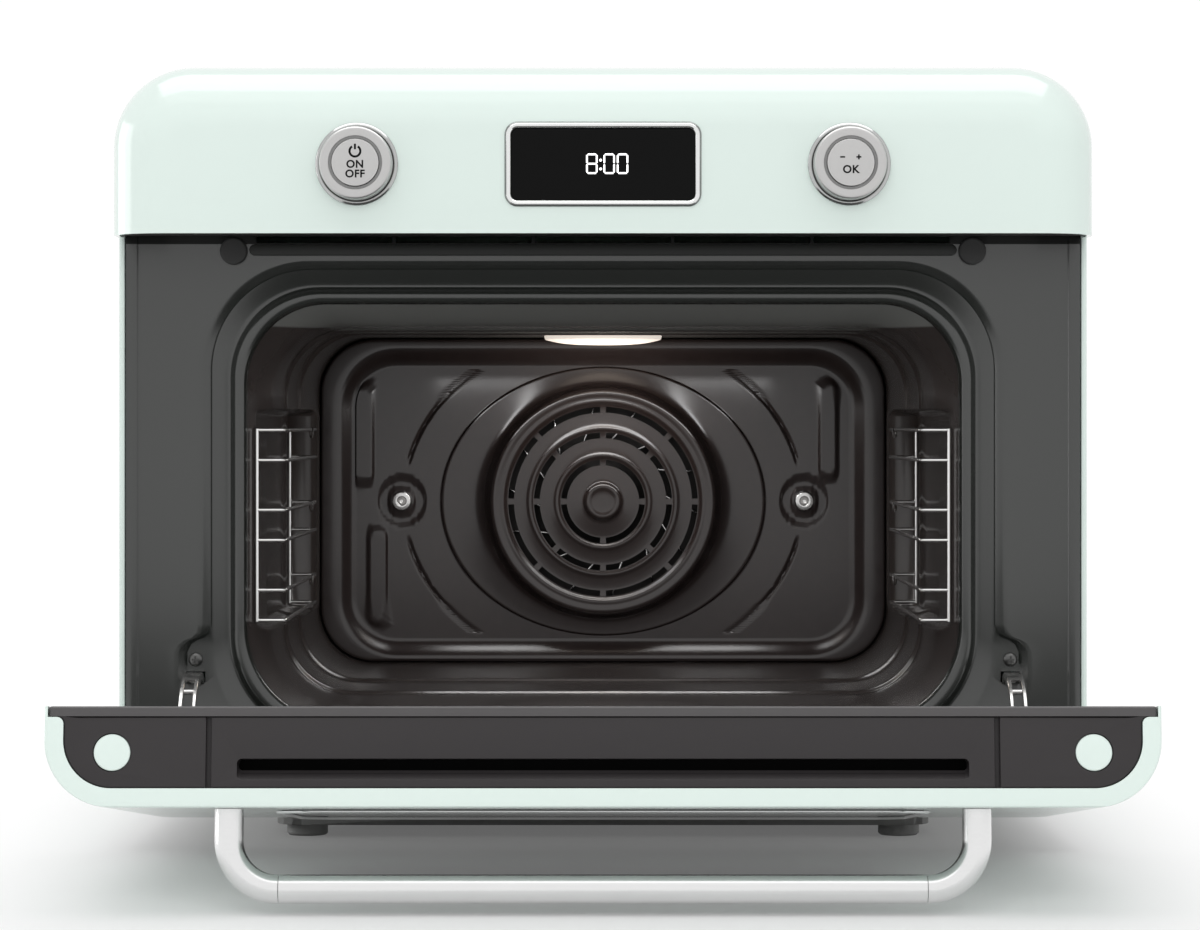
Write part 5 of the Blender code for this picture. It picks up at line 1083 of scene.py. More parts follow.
def cover_rows():
    """Reach in every direction and depth of each row, from the grille's edge out to the sheet's."""
    half, low, high, radius = cavity_shape(COVER_DEPTH, 0.0006)

    def rectangle(inset):
        edges = (half - inset, low + inset, high - inset, radius - inset)
        return [rectangle_reach(a, *edges) for a in COVER_ANGLES]

    def sunk(out):
        edges = (SUNK_HALF + out, SUNK_LOW - out, SUNK_HIGH + out, SUNK_RADIUS + out)
        return [rectangle_reach(a, *edges) for a in COVER_ANGLES]

    def ellipse(inset):
        return [ellipse_reach(a, DISH_HALF_X - inset, DISH_HALF_Z - inset * 0.7) for a in COVER_ANGLES]

    rows = []
    edge = ellipse(DISH_EDGE)
    for step in range(33):
        part = (step / 32) ** 1.7
        rise = DISH_RISE + 0.0018 * (1 - part) ** 2 + 0.0081 * (1 - part) ** 11
        rows.append(([blend(GRILLE_RADIUS, e, part) for e in edge], COVER_PANEL - rise))
    for step in range(1, 6):
        part = step / 5
        rows.append((ellipse(DISH_EDGE * (1 - part)), COVER_PANEL - DISH_RISE * (1 - smooth_step(0, 1, part))))
    inner = ellipse(0)
    outer = sunk(-0.0046)
    for step in range(1, 78):
        part = step / 78
        rows.append(([blend(a, b, part) for a, b in zip(inner, outer)], COVER_PANEL))
    for step in range(13):
        part = step / 12
        lift = (COVER_PANEL - COVER_DEPTH) * smooth_step(0, 1, part)
        rows.append((sunk(-0.0045 + 0.0115 * part), COVER_PANEL - lift))
    for inset, depth in ((0.0020, 0), (0.0009, 0.0003), (0.0003, 0.0010), (0, 0.0030)):
        rows.append((rectangle(inset), COVER_DEPTH + depth))
    return rows


def make_fan_cover():
    """One sheet: a sunk panel with its pressings, an oval dish and the grille."""
    rings = []
    for reaches, depth in cover_rows():
        ring = []
        for angle, reach in zip(COVER_ANGLES, reaches):
            x, y, z = fan_point(reach, angle, depth)
            ring.append((x, y + (cover_relief(x, z) if depth == COVER_PANEL else 0.0), z))
        rings.append(ring)
    cover = joined("cover", [grille_mesh(), loft_mesh("plate", rings, caps=False)])
    dress("fan_cover", cover, CAVITY_ENAMEL, angle=50)


# Reach from the fan's axis, and millimetres in front of the panel
GRILLE_PROFILE = (
    (0.0665, 11.5), (0.0663, 12.3), (0.0660, 13.1), (0.0655, 13.9), (0.0649, 14.5), (0.0641, 14.9),
    (0.0632, 15.0), (0.0620, 14.8), (0.0610, 14.5), (0.0602, 14.4), (0.0594, 14.5), (0.0586, 14.6),
    (0.0578, 14.4), (0.0571, 13.8), (0.0564, 13.1), (0.0558, 12.7), (0.0550, 12.5), (0.0518, 12.2),
    (0.0505, 12.2), (0.0480, 12.3), (0.0455, 12.6), (0.0441, 12.9), (0.0434, 13.3), (0.0426, 13.5),
    (0.0418, 13.3), (0.0411, 12.9), (0.0405, 12.6), (0.0366, 12.4), (0.0352, 12.4), (0.0320, 12.7),
    (0.0292, 13.1), (0.0283, 13.4), (0.0275, 13.8), (0.0267, 13.9), (0.0259, 13.6), (0.0252, 13.1),
    (0.0246, 12.8), (0.0208, 12.7), (0.0196, 12.8), (0.0165, 13.1), (0.0135, 13.5), (0.0119, 13.7),
    (0.0112, 14.1), (0.0107, 14.8), (0.0101, 15.5), (0.0093, 15.9), (0.0084, 16.0), (0.0075, 15.8),
    (0.0068, 15.5), (0.0060, 15.3), (0.0030, 15.3),
)


def grille_mesh():
    """Crested round grille with three rings of arc slots and a boss in the middle."""
    turns = [math.tau * i / 192 for i in range(192)]
    rings = [[fan_point(reach, a, COVER_PANEL - rise / 1000) for a in turns]
             for reach, rise in GRILLE_PROFILE]
    bm = bmesh.new()
    bm.from_mesh(loft_mesh("grille", rings, caps=False))
    edge = [e for e in bm.edges if e.is_boundary and (e.verts[0].co.xz - Vector((0, FAN_Z))).length < 0.004]
    bmesh.ops.contextual_create(bm, geom=edge)
    bmesh.ops.recalc_face_normals(bm, faces=bm.faces)
    if sum(face.normal.y for face in bm.faces) > 0:
        bmesh.ops.reverse_faces(bm, faces=bm.faces)
    slots = bmesh.new()
    for radius, count in ((0.0536, 8), (0.0386, 8), (0.0228, 4)):
        sweep = math.tau / count - GRILLE_SLOT / radius
        for i in range(count):
            middle = math.tau * (i + 0.5) / count
            add_sector(slots, radius, GRILLE_SLOT, middle - sweep / 2, middle + sweep / 2, COVER_PANEL - 0.018,
                       COVER_PANEL - 0.006)
    turn_outward(slots)
    thin_sheet = ("SOLIDIFY", {"thickness": 0.001, "offset": -1})
    return worked(to_mesh("sheet", bm), thin_sheet, to_mesh("slots", slots))


def add_sector(bm, radius, width, start, end, front, back, steps=16):
    """A solid arc round the fan's axis."""
    inner, outer = radius - width / 2, radius + width / 2
    section = ((inner, front), (outer, front), (outer, back), (inner, back))
    angles = [start + (end - start) * i / steps for i in range(steps + 1)]
    rows = add_rows(bm, [[fan_point(reach, angle, depth) for reach, depth in section] for angle in angles])
    bm.faces.new(rows[0])
    bm.faces.new(rows[-1])


# Trees for what follows a path or repeats

def new_tree(name, *inputs):
    """A tree with a Geometry input and output and the named inputs besides, Material the last."""
    tree = bpy.data.node_groups.new(name, "GeometryNodeTree")
    sockets = tree.interface
    sockets.new_socket("Geometry", in_out="INPUT", socket_type="NodeSocketGeometry")
    for label, kind, value in inputs:
        socket = sockets.new_socket(label, in_out="INPUT", socket_type=kind)
        if value is not None:
            socket.default_value = value
    sockets.new_socket("Material", in_out="INPUT", socket_type="NodeSocketMaterial")
    sockets.new_socket("Geometry", in_out="OUTPUT", socket_type="NodeSocketGeometry")
    return tree, add_node(tree, "NodeGroupInput").outputs


def end_tree(tree, geometry, given):
    """Realises copies, gives the material and ends the tree."""
    plain = add_node(tree, "GeometryNodeRealizeInstances", {"Geometry": geometry})
    paint = add_node(tree, "GeometryNodeSetMaterial", {
        "Geometry": plain.outputs["Geometry"], "Material": given["Material"],
    })
    add_node(tree, "NodeGroupOutput", {"Geometry": paint.outputs["Geometry"]})
    return tree


def wire_along_path():
    """Round wire along every chain of edges."""
    tree, given = new_tree("wire_along_path", ("Radius", "NodeSocketFloat", 0.001),
                           ("Sides", "NodeSocketInt", 16))
    path = add_node(tree, "GeometryNodeMeshToCurve", {"Mesh": given["Geometry"]})
    section = add_node(tree, "GeometryNodeCurvePrimitiveCircle", {
        "Radius": given["Radius"], "Resolution": given["Sides"],
    })
    sweep = add_node(tree, "GeometryNodeCurveToMesh", {
        "Curve": path.outputs["Curve"], "Profile Curve": section.outputs["Curve"], "Fill Caps": True,
    })
    return end_tree(tree, sweep.outputs["Mesh"], given)


def ring_of_copies():
    """Copies of the given shape on a ring, each turned to follow it."""
    tree, given = new_tree("ring_of_copies", ("Count", "NodeSocketInt", 12),
                           ("Radius", "NodeSocketFloat", 0.05))
    ring = add_node(tree, "GeometryNodeMeshCircle", {"Vertices": given["Count"], "Radius": given["Radius"]})
    index = add_node(tree, "GeometryNodeInputIndex").outputs["Index"]
    turn = calculate(tree, "MULTIPLY", index, calculate(tree, "DIVIDE", math.tau, given["Count"]))
    spin = add_node(tree, "ShaderNodeCombineXYZ", {"Z": turn})
    copies = add_node(tree, "GeometryNodeInstanceOnPoints", {
        "Points": ring.outputs["Mesh"], "Instance": given["Geometry"], "Rotation": spin.outputs["Vector"],
    })
    return end_tree(tree, copies.outputs["Instances"], given)


def copies_at_points():
    """Copies of a piece at every point of the given shape."""
    tree, given = new_tree("copies_at_points", ("Piece", "NodeSocketObject", None),
                           ("Size", "NodeSocketFloat", 1.0))
    piece = add_node(tree, "GeometryNodeObjectInfo", {"Object": given["Piece"]})
    copies = add_node(tree, "GeometryNodeInstanceOnPoints", {
        "Points": given["Geometry"], "Instance": piece.outputs["Geometry"], "Scale": given["Size"],
    })
    return end_tree(tree, copies.outputs["Instances"], given)


WIRE_TREE = wire_along_path()
RING_TREE = ring_of_copies()
COPY_TREE = copies_at_points()


def through_tree(mesh, tree, **values):
    """The plain mesh that a tree makes of a mesh, with its named inputs set."""
    obj = linked_object("blank", mesh)
    modifier = obj.modifiers.new("nodes", "NODES")
    modifier.node_group = tree
    for item in tree.interface.items_tree:
        if item.in_out == "INPUT" and item.name in values:
            modifier[item.identifier] = values[item.name]
    return taken_mesh(obj)


def wire(paths, radius, sides, material):
    """Round wire along rows of points."""
    mesh = bpy.data.meshes.new("path")
    points = []
    edges = []
    for path in paths:
        first = len(points)
        points += [tuple(point) for point in path]
        edges += [(first + i, first + i + 1) for i in range(len(path) - 1)]
    mesh.from_pydata(points, edges, [])
    return through_tree(mesh, WIRE_TREE, Radius=radius, Sides=sides, Material=material)


def fillet_path(points, radius, steps=8):
    """A path of straight runs whose inner corners are bent to a radius."""
    path = [Vector(points[0])]
    for before, here, after in zip(points, points[1:], points[2:]):
        here = Vector(here)
        back = (Vector(before) - here).normalized()
        ahead = (Vector(after) - here).normalized()
        half_angle = back.angle(ahead) / 2
        reach = radius / math.tan(half_angle)
        start = here + back * reach
        centre = here + (back + ahead).normalized() * (radius / math.sin(half_angle))
        arm = start - centre
        axis = arm.cross(here + ahead * reach - centre)
        sweep = math.pi - 2 * half_angle
        for i in range(steps + 1):
            path.append(centre + Matrix.Rotation(sweep * i / steps, 3, axis) @ arm)
    path.append(Vector(points[-1]))
    return path


def rack(side, sign):
    """Two upright wires and three pairs of rungs; the upper one of each pair dips near its rear end."""
    upright = sign * (ALCOVE_HALF - GAP - RACK_POST)
    inner = upright - sign * 0.0146
    rear = RACK_FRONT + RACK_LENGTH
    dip = rear - 0.030
    posts = [[(upright, depth, RACK_LOW - 0.0007), (upright, depth, RACK_HIGH + 0.0007)]
             for depth in (RACK_FRONT, rear)]
    rungs = []
    for pair in range(3):
        for row in range(2):
            z = RACK_HIGH - pair * 0.0416 - row * 0.0157
            rung = [(upright, RACK_FRONT, z), (inner, RACK_FRONT, z)]
            if row == 0:
                rung += [(inner, dip - 0.006, z), (inner, dip, z - 0.0045), (inner, dip + 0.006, z)]
            rung += [(inner, rear, z), (upright, rear, z)]
            rungs.append(fillet_path(rung, 0.0022, 5))
    mesh = joined("rack", [wire(posts, RACK_POST, 16, RACK_STEEL), wire(rungs, RACK_RUNG, 16, RACK_STEEL)])
    dress(f"side_rack_{side}", mesh, RACK_STEEL, angle=45)


def make_fan():
    disc = turned_mesh("disc", [
        (0.0033, 0.0124), (0.0060, 0.0124), (0.0060, 0.0008), (0.0075, 0.0), (0.0575, 0.0), (0.0580, -0.0005),
        (0.0575, -0.001), (0.0033, -0.001),
    ], (0, 0, 0), "up", 96)
    blade = box_mesh("blade", (-0.015, -0.0005, 0), (0.015, 0.0005, 0.0128), 0.0002)
    blade.transform(Matrix.Rotation(math.radians(-28), 4, "Z"))
    blades = through_tree(blade, RING_TREE, Count=FAN_BLADES, Radius=BLADE_REACH, Material=STEEL)
    turn = Matrix.Translation((0, FAN_DEPTH, FAN_Z)) @ Matrix.Rotation(math.pi / 2, 4, "X")
    disc.transform(turn)
    blades.transform(turn)
    dress("fan_impeller", disc, FAN_STEEL, name="fan_disc_looks")
    dress("fan_impeller", blades, STEEL, name="fan_blades_looks")


def make_lamp():
    """A shallow lens that hangs from the roof, on a collar that goes up through its hole."""
    share = (LAMP_DEPTH + LENS_RADIUS - CAVITY_START) / (CAVITY_DEPTH - CAVITY_START)
    roof = blend(CAVITY_HIGH, REAR_HIGH, share) - GAP
    lens = turned_mesh("lens", rounded_profile([
        (0, roof - 0.0032), (0.0204, roof - 0.0032, 0), (0.0214, roof + 0.003, 0), (0.0244, roof + 0.003, 0),
        (0.0244, roof, 0), (LENS_RADIUS, roof, 0.0004), (LENS_RADIUS - 0.0005, roof - 0.0024, 0.0010),
        (0.0245, roof - 0.0044, 0.004), (0.0130, roof - 0.0052, 0.004), (0, roof - 0.0052),
    ], 0.0004), (0, LAMP_DEPTH, 0), "up", 96)
    dress("lamp_lens", lens, LAMP_GLASS)


make_cavity()
make_fan_cover()
for side_name, side_sign in SIDES:
    rack(side_name, side_sign)
make_fan()
make_lamp()


# Door and its hinges

def make_door_shell():
    roll = [(inset, DOOR_OUTER + setback) for inset, setback in quarter_turn(EDGE_RADIUS, 14)]
    rings = []
    soft = 0.0012
    for inset, depth in [(0.0, DOOR_INNER), *roll, (EDGE_RADIUS + PANEL_FLAT, DOOR_OUTER)]:
        rise = 1 - min(1, (depth - DOOR_OUTER) / soft)
        high = DOOR_TOP - soft * (1 - math.sqrt(1 - rise * rise))
        turn = max(CORNER_RADIUS - inset, FINE_BEND)
        rings.append(at_depth(rounded(HALF - inset, inset - DOOR_BELOW, high, turn, soft, 14), depth))
    wall = DOOR_WALL
    hollow = rounded_front_mesh("door_hollow", DOOR_OUTER, DOOR_INNER + wall, wall - DOOR_BELOW,
                                DOOR_TOP - 0.0025, wall, False, 8)
    rabbet = box_mesh("rabbet", (wall - HALF, FRAME_SEAT, DOOR_TOP / 2),
                      (HALF - wall, DOOR_INNER + HOLE_ROOM, DOOR_TOP + HOLE_ROOM))
    mouth = plate_mesh("cap_opening", [cap_plan(0.0085, FRAME_SEAT + 0.002)], DOOR_TOP - 0.005,
                       DOOR_TOP + 0.0025, "z")
    window = plate_mesh("window", [window_outline(0)], DOOR_OUTER - 0.005, DOOR_OUTER + 0.008)
    mesh = worked(loft_mesh("shell", rings), hollow, rabbet, mouth, window, hinge_notches())
    dress("door_shell", mesh, MINT, DOOR)


def cap_plan(offset, back, steps=20):
    """Section of the door seen along its height, from back right round the front to back left."""
    radius = EDGE_RADIUS - offset
    half = HALF - offset
    front = DOOR_OUTER + offset
    flare = 0.003
    right = [(half + flare, back)] if back > FRAME_SEAT else []
    right += arc((half + flare, FRAME_SEAT - flare), flare, 90, 180, 6)
    right += arc((half - radius, front + radius), radius, 0, -90, steps)
    return right + [(-x, y) for x, y in reversed(right)]


def window_outline(out):
    radius = WINDOW_RADIUS + out
    return rounded(WINDOW_HALF + out, 0.052 - out, DOOR_TOP - 0.047 + out, radius, radius, 12)


def hinge_notches():
    bm = bmesh.new()
    for _, sign in SIDES:
        middle = sign * LUG_MIDDLE
        add_box(bm, (middle - 0.00245, -0.0067, -DOOR_BELOW - 0.004),
                (middle + 0.00245, DOOR_INNER + 0.004, 0.0067))
    return to_mesh("notches", bm)


def cap_slot():
    """The slot's cutter: leaning walls below a short mouth."""
    rings = []
    for lift, lean in ((-SLOT_SINK, SLOT_LEAN), (-0.0045, SLOT_LEAN), (0.0002, 0.0)):
        outline = rounded_box(SLOT_HALF, (SLOT_NEAR - SLOT_FAR - lean) / 2, 0.0022,
                              (0, (SLOT_NEAR + SLOT_FAR + lean) / 2), 8)
        rings.append([(x, y, CAP_TOP + lift) for x, y in outline])
    return loft_mesh("slot", rings)


def cap_moulding(name, outline):
    return plate_mesh(name, [outline], CAP_TOP - CAP_WALL, CAP_TOP, "z", 0.0007)


def make_door_cap():
    """Three mouldings side by side on one base; the middle one has the slot, the others a plug each."""
    base = plate_mesh("base", [cap_plan(CAP_OFFSET, FRAME_SEAT)], CAP_TOP - 0.0135, CAP_TOP - 0.003, "z")
    edge = GROOVE_X - GROOVE_HALF
    front = DOOR_OUTER + CAP_OFFSET
    middle = cap_moulding("middle", [(edge, FRAME_SEAT), (edge, front), (-edge, front), (-edge, FRAME_SEAT)])
    wings = []
    for _, sign in SIDES:
        near = sign * (GROOVE_X + GROOVE_HALF)
        outline = [point for point in cap_plan(CAP_OFFSET, FRAME_SEAT) if point[0] * sign > GROOVE_X]
        if sign > 0:
            outline = outline + [(near, front), (near, FRAME_SEAT)]
        else:
            outline = [(near, FRAME_SEAT), (near, front)] + outline
        bore = bmesh.new()
        add_cylinder(bore, (sign * PLUG_X, PLUG_Y, CAP_TOP - 0.0063), (0, 0, 1), 0.0086, 0.02, 64)
        tool = to_mesh("bore", bore)
        wings.append(worked(cap_moulding("wing", outline), tool))
        base = worked(base, tool)
    tool = cap_slot()
    pieces = [worked(base, tool), worked(middle, tool, SOFT_EDGE), *wings]
    # A black sheet at the slot's floor is painted shade, in place of a deeper slot.
    deep = (SLOT_NEAR - SLOT_FAR - SLOT_LEAN) / 2
    bottom = rounded_box(SLOT_HALF - 0.0002, deep - 0.0001, 0.002, (0, (SLOT_NEAR + SLOT_FAR + SLOT_LEAN) / 2))
    shade = plate_mesh("shade", [bottom], CAP_TOP - SLOT_SINK, CAP_TOP - SLOT_SINK + 0.0005, "z")
    dress("door_cap", shade, SLOT_PAINTED_SHADE, DOOR, name="cap_slot_shade")
    dress("door_cap", joined("cap", pieces), CAP_PLASTIC, DOOR)
    profile = rounded_profile([(0, 0), (0.00825, 0, 0.0009), (0.00825, -0.006, 0), (0, -0.006)], 0.0004)
    for side, sign in SIDES:
        plug = turned_mesh("plug", profile, (sign * PLUG_X, PLUG_Y, CAP_TOP), "up", 64)
        dress(f"door_plug_{side}", plug, MINT, DOOR)


def make_door_frame():
    """A folded sheet with a window, slots for the hinge arms and an ear at each hinge."""
    offset = DOOR_WALL + GAP
    fold = DOOR_INNER - SHEET

    def outer(inset, depth):
        turn = CORNER_RADIUS - offset - inset
        low = offset + inset - DOOR_BELOW
        upper = max(0.002 - inset, 0.0004)
        return at_depth(rounded(HALF - offset - inset, low, DOOR_TOP - inset, turn, upper, 12), depth)

    def inner(out, depth):
        low = 0.028 - out
        return at_depth(rounded(0.170 + out, low, DOOR_TOP - low, PANE_RADIUS, PANE_RADIUS, 12), depth)

    rings = [outer(setback, DOOR_INNER - inset) for inset, setback in quarter_turn(0.0014, 5)]
    seat = 0.0075 + 2 * SHEET
    rings += [outer(0, FRAME_FRONT), outer(SHEET, FRAME_FRONT), outer(SHEET, fold), inner(seat, fold),
              inner(seat, FRAME_FRONT), inner(0, FRAME_FRONT), inner(0, DOOR_INNER - 0.0010),
              inner(0.0003, DOOR_INNER - 0.0003), inner(0.0010, DOOR_INNER)]
    slots = bmesh.new()
    arm_foot = math.sqrt(ARM_INNER ** 2 - DOOR_INNER ** 2) - GAP
    for _, sign in SIDES:
        add_box(slots, (sign * ARM_X - 0.0046, FRAME_FRONT - HOLE_ROOM, arm_foot),
                (sign * ARM_X + 0.0046, DOOR_INNER + HOLE_ROOM, 0.0348))
    bm = bmesh.new()
    bm.from_mesh(worked(loft_mesh("frame", rings, loop=True), to_mesh("slots", slots), hinge_notches()))
    for _, sign in SIDES:
        left, right = sorted((sign * (LUG_X - 0.0155), sign * (LUG_X - 0.0012)))
        add_box(bm, (left, -0.0035, offset + GAP - DOOR_BELOW), (right, DOOR_INNER - SHEET / 2, 0.0075))
    dress("door_inner_frame", to_mesh("frame", bm), LIP_ENAMEL, DOOR)


def make_glazing():
    back = DOOR_OUTER - GAP
    glass = plate_mesh("glass", [window_outline(-GAP)], back, back + 0.003, bevel=0.0003)
    dress("outer_glass", glass, WINDOW_GLASS, DOOR)
    back = DOOR_OUTER - 2 * GAP
    front = back - 0.001
    section = ((-0.0006, back), (-0.0004, front + 0.0004), (0.0001, front), (0.0018, front),
               (0.0022, front + 0.0004), (0.0024, back))
    trim = loft_mesh("trim", [at_depth(window_outline(o), d) for o, d in section], loop=True)
    dress("window_trim", trim, CHROME, DOOR)
    outline = rounded(0.1775, PANE_LOW, DOOR_TOP - PANE_LOW, PANE_RADIUS, PANE_RADIUS, 12)
    dress("inner_glass", plate_mesh("pane", [outline], FRAME_SEAT - 0.004, FRAME_SEAT), WINDOW_GLASS, DOOR)


def make_handle():
    """A straight tube between two elbows that go back into the door."""
    z = DOOR_TOP - 0.020
    axis = DOOR_OUTER - HANDLE_REACH
    end = HANDLE_X - HANDLE_BEND - 0.0005
    for side, sign in SIDES:
        bend = fillet_path([
            (sign * HANDLE_X, DOOR_OUTER - GAP, z), (sign * HANDLE_X, axis, z), (sign * end, axis, z),
        ], HANDLE_BEND, 24)
        dress(f"handle_elbow_{side}", wire([bend], HANDLE_TUBE, 64, HANDLE_STEEL), HANDLE_STEEL, DOOR, 50)
    bar = wire([[(GAP - end, axis, z), (end - GAP, axis, z)]], HANDLE_TUBE, 64, HANDLE_STEEL)
    dress("handle_bar", bar, HANDLE_STEEL, DOOR, 50)


def swept(section, middle, angles):
    """A section of width and reach, swept round the hinge line."""
    return loft_mesh("swept", [
        [(middle + x, reach * math.sin(angle), reach * math.cos(angle)) for x, reach in section]
        for angle in angles
    ])


def hinge_arm(side, sign):
    """Two curved cheeks joined by pins, with a plate between them near the door."""
    middle = sign * ARM_X
    start, end = math.radians(-6), math.radians(112)
    cut = 0.0003
    parts = []
    for near, far in ((-0.0043, -0.0025), (0.0025, 0.0043)):
        section = (
            (near, ARM_INNER + cut), (near + cut, ARM_INNER), (far - cut, ARM_INNER), (far, ARM_INNER + cut),
            (far, ARM_OUTER - cut), (far - cut, ARM_OUTER), (near + cut, ARM_OUTER), (near, ARM_OUTER - cut),
        )
        parts.append(swept(section, middle, [blend(start, end, step / 48) for step in range(49)]))
    bridge = ((-0.0026, 0.0335), (-0.0026, ARM_OUTER), (0.0026, ARM_OUTER), (0.0026, 0.0335))
    parts.append(swept(bridge, middle, [math.radians(blend(60, 93, step / 12)) for step in range(13)]))
    pins = []
    for share in (0.04, 0.26, 0.44, 0.97):
        angle = blend(start, end, share)
        y, z = ARM_PINS * math.sin(angle), ARM_PINS * math.cos(angle)
        pins.append([(middle - PIN_HALF, y, z), (middle + PIN_HALF, y, z)])
    parts.append(wire(pins, 0.0014, 20, STEEL))
    dress(f"hinge_arm_{side}", joined("arm", parts), STEEL, DOOR, 40)


def screw_mesh(place, radius, height, length):
    """Low round head with a cross recess."""
    body = turned_mesh("screw", rounded_profile([
        (0, height), (radius * 0.62, height * 0.92, radius * 0.5), (radius, height * 0.42, radius * 0.2),
        (radius, GAP, 0), (SHANK, GAP, 0), (SHANK, -length, 0), (0, -length),
    ], steps=6), place, steps=48)
    x, y, z = place
    front = y - height - 0.001
    floor = y - height * 0.45
    cuts = []
    for wide, tall in ((radius * 0.5, radius * 0.11), (radius * 0.11, radius * 0.5)):
        cuts.append(box_mesh("cut", (x - wide, front, z - tall), (x + wide, floor, z + tall)))
    return worked(body, *cuts)


def socket_screw_mesh(place, radius, height, length):
    """Flat round head with a conical socket."""
    return turned_mesh("screw", rounded_profile([
        (0, height * 0.45), (radius * 0.20, height * 0.45), (radius * 0.42, height * 0.97),
        (radius * 0.56, height), (radius * 0.86, height * 0.93), (radius, height * 0.60), (radius, GAP, 0),
        (SHANK, GAP, 0), (SHANK, -length, 0), (0, -length),
    ], steps=6), place, steps=48)


def make_rear_cover():
    """Flat sheet with a pressed groove round it, two rows of air slots and a row of screws."""
    sink = -0.0008
    section = ((0, -SHEET), (0, -0.0004), (0.0004, 0), (0.0130, 0), (0.0140, sink), (0.0160, sink), (0.0170, 0))
    rings = [at_depth(arch(offset, BODY_BOTTOM + offset), BODY_DEPTH + rise) for offset, rise in section]
    outlines = [slot_outline(((i - 4) * AIR_SLOT_PITCH, row), 0.002, 0.020, 6)
                for row in AIR_SLOT_ROWS for i in range(9)]
    outlines.append(circle(GLAND_PLACE, GLAND_HOLE, 48))
    holes = plate_mesh("holes", outlines, BODY_DEPTH - HOLE_ROOM, BODY_DEPTH + HOLE_ROOM)
    dress("rear_cover", worked(loft_mesh("rear", rings), holes), MINT)
    head = screw_mesh((0, 0, 0), 0.0033, 0.0019, 0.0006)
    head.transform(Matrix.Rotation(math.pi, 4, "Z"))
    piece = linked_object("head", head)
    edge = REAR_SCREW_EDGE
    places = [(sign * (HALF - edge), BODY_DEPTH, z) for _, sign in SIDES for z in REAR_SCREW_ROWS]
    places += [(sign * REAR_SCREW_X, BODY_DEPTH, z) for _, sign in SIDES
               for z in (BODY_BOTTOM + edge, HEIGHT - edge)]
    points = bpy.data.meshes.new("screw_places")
    points.from_pydata(places, [], [])
    screws = through_tree(points, COPY_TREE, Piece=piece, Material=SCREW_STEEL)
    bpy.data.objects.remove(piece)
    dress("rear_cover", screws, SCREW_STEEL, name="rear_screws_looks")


def make_screws(side, sign):
    """The screw above a hinge, and one of the fan cover's two."""
    place = (sign * ARM_X, FACADE_FLAT + STEP_DEPTH, HINGE_SCREW_Z)
    dress(f"hinge_screw_{side}", screw_mesh(place, 0.0036, 0.0024, 0.007), SCREW_STEEL)
    place = (sign * COVER_SCREW_X, COVER_PANEL, FAN_Z)
    dress(f"cover_screw_{side}", socket_screw_mesh(place, 0.006, 0.0035, 0.009), STEEL)


make_rear_cover()
make_door_shell()
make_door_cap()
make_door_frame()
make_glazing()
make_handle()
for side_name, side_sign in SIDES:
    hinge_arm(side_name, side_sign)
    make_screws(side_name, side_sign)

# Every other node is a welded copy of its solid
for node_name in sorted(frame["nodes"]):
    if node_name not in DONE:
        smooth_copy(node_name)


# Camera, light and floor

def add_light(name, place, aim, width, depth, power):
    data = bpy.data.lights.new(name, "AREA")
    data.shape = "RECTANGLE"
    data.size = width
    data.size_y = depth
    data.energy = power
    obj = linked_object(name, data)
    obj.location = place
    obj.rotation_euler = (Vector(aim) - Vector(place)).to_track_quat("-Z", "Y").to_euler()
    return obj


def set_camera():
    data = bpy.data.cameras.new("camera")
    data.sensor_width = 36
    data.lens = LENS_TO_WIDTH * data.sensor_width
    data.shift_x = -0.0025
    data.shift_y = -0.0333
    data.clip_end = 60
    camera = linked_object("camera", data)
    camera.location = (0, FACADE_Y - CAMERA_AWAY, CAMERA_Z)
    camera.rotation_euler = (math.pi / 2, 0, 0)
    bpy.context.scene.camera = camera


def shown_directly(tree):
    """One for what is seen directly, in metal or through glass, and nought for the light that it casts."""
    seen = add_node(tree, "ShaderNodeLightPath").outputs
    either = calculate(tree, "MAXIMUM", seen["Is Camera Ray"], seen["Is Glossy Ray"])
    return calculate(tree, "MAXIMUM", either, seen["Is Transmission Ray"])


def set_world():
    """Soft studio surroundings; seen directly, the background is white."""
    world = bpy.data.worlds.new("studio")
    world.use_nodes = True
    bpy.context.scene.world = world
    tree = world.node_tree
    room = tree.nodes["Background"]
    feed(tree, room, {"Color": (1, 1, 1, 1), "Strength": 0.74})
    white = add_node(tree, "ShaderNodeBackground", {"Color": (1, 1, 1, 1), "Strength": SHOWN_WHITE})
    pick = add_node(tree, "ShaderNodeMixShader", {
        "Fac": shown_directly(tree), 1: room.outputs["Background"], 2: white.outputs["Background"],
    })
    feed(tree, tree.nodes["World Output"], {"Surface": pick.outputs["Shader"]})


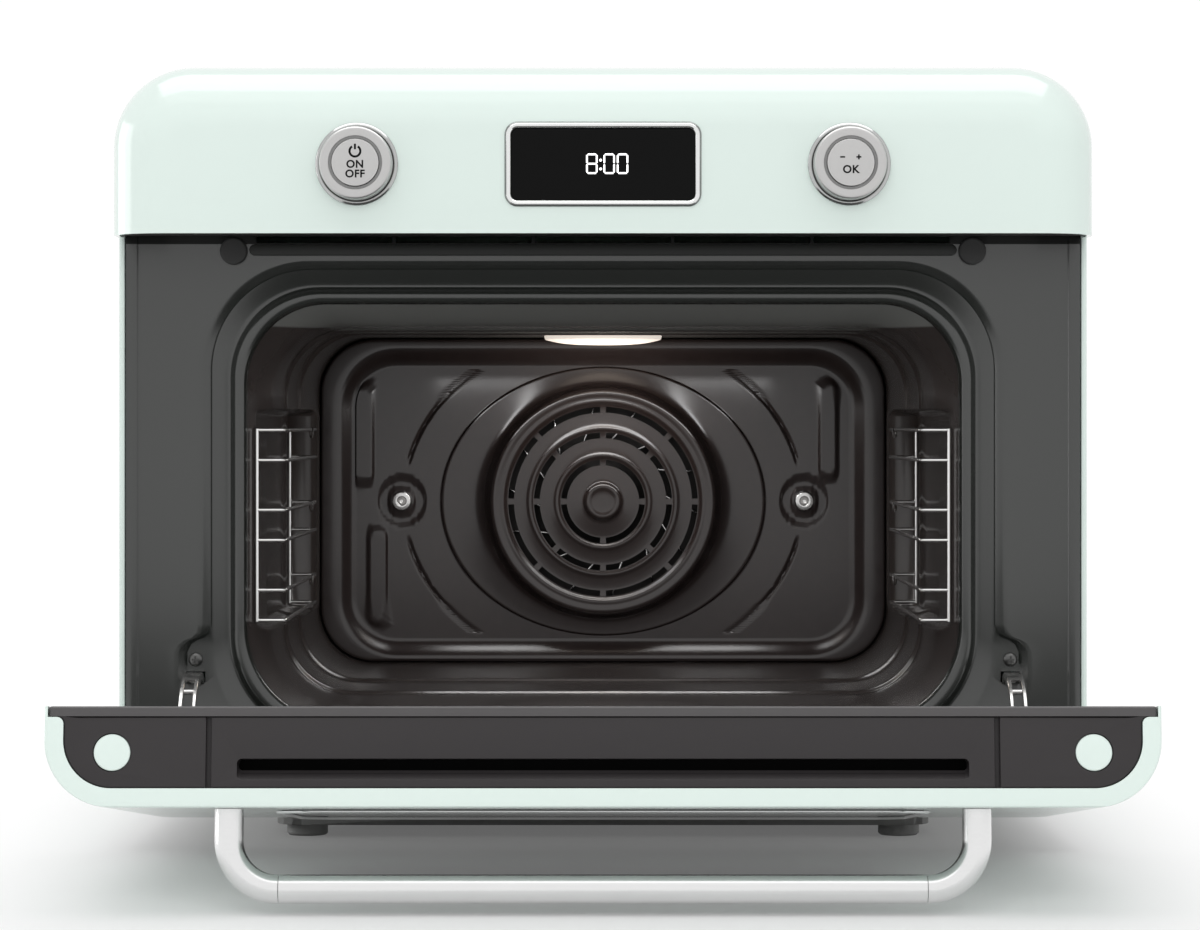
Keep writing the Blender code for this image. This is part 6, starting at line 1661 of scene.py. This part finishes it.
def floor_material():
    """White paint that keeps the shadow near the object and is plain white further out."""
    made = shader_material("floor_paint", (0.90, 0.90, 0.90), 0.8, mottle=0.002, specular=0.0)
    tree = made.node_tree
    parts = add_node(tree, "ShaderNodeSeparateXYZ", {"Vector": object_place(tree)})
    fades = []
    for axis, middle, near, far in (("X", 0.0, 0.20, 0.36), ("Y", -0.10, 0.26, 0.55)):
        away = calculate(tree, "ABSOLUTE", calculate(tree, "SUBTRACT", parts.outputs[axis], middle))
        fade = add_node(tree, "ShaderNodeMapRange", {"Value": away, "From Min": near, "From Max": far},
                        interpolation_type="SMOOTHSTEP")
        fades.append(fade.outputs["Result"])
    # Near the object, white seen directly is still mixed in at 0.11: painted light that makes the shadow there
    # paler.
    base = add_node(tree, "ShaderNodeMapRange", {"Value": calculate(tree, "MAXIMUM", *fades), "To Min": 0.11})
    lift = calculate(tree, "MULTIPLY", base.outputs["Result"], shown_directly(tree))
    white = add_node(tree, "ShaderNodeEmission", {"Strength": SHOWN_WHITE})
    mix = add_node(tree, "ShaderNodeMixShader", {
        "Fac": lift, 1: tree.nodes["Principled BSDF"].outputs["BSDF"], 2: white.outputs["Emission"],
    })
    feed(tree, tree.nodes["Material Output"], {"Surface": mix.outputs["Shader"]})
    return made


def set_floor():
    bpy.ops.mesh.primitive_plane_add(size=1)
    floor = bpy.context.object
    floor.name = "floor"
    floor.data.transform(Matrix.Diagonal((30, 30, 1, 1)))
    floor.data.materials.append(floor_material())


def set_oven_lamp():
    """The warm glow of the lamp on the cavity."""
    data = bpy.data.lights.new("oven_lamp", "POINT")
    data.energy = 0.16
    data.color = (1.0, 0.92, 0.84)
    data.shadow_soft_size = 0.03
    lamp = linked_object("oven_lamp", data)
    lamp.location = (0, FACADE_Y + 0.200, 0.246)
    lamp.visible_glossy = False


def set_lights():
    """Soft boxes above and at the left, a fill from the front, and glints that only reflections show."""
    add_light("top_soft_box", (0, -0.50, 1.55), (0, -0.50, 0), 1.9, 1.45, 4.5)
    add_light("left_soft_box", (-1.5, 0.55, 0.35), (0, 0, 0.2), 0.6, 1.0, 4)
    for glint in (
        add_light("top_glint", (0, 0.03, 1.54), (0, 0.03, 0), 1.9, 1.05, 12),
        add_light("left_glint", (-1.49, 0.10, 0.35), (0, 0, 0.2), 0.6, 1.0, 4),
        add_light("lamp_glint", (0, FACADE_Y + 0.215, 0.247), (0, FACADE_Y + 0.226, 0), 0.20, 0.025, 0.17),
    ):
        glint.visible_diffuse = False
        glint.visible_camera = False
    fill = add_light("front_fill", (0, -3.2, 1.4), (0, 0, 0.2), 2.6, 1.2, 27)
    fill.visible_glossy = False
    set_oven_lamp()


set_camera()
set_world()
set_floor()
set_lights()
bpy.context.scene.view_settings.view_transform = "Standard"
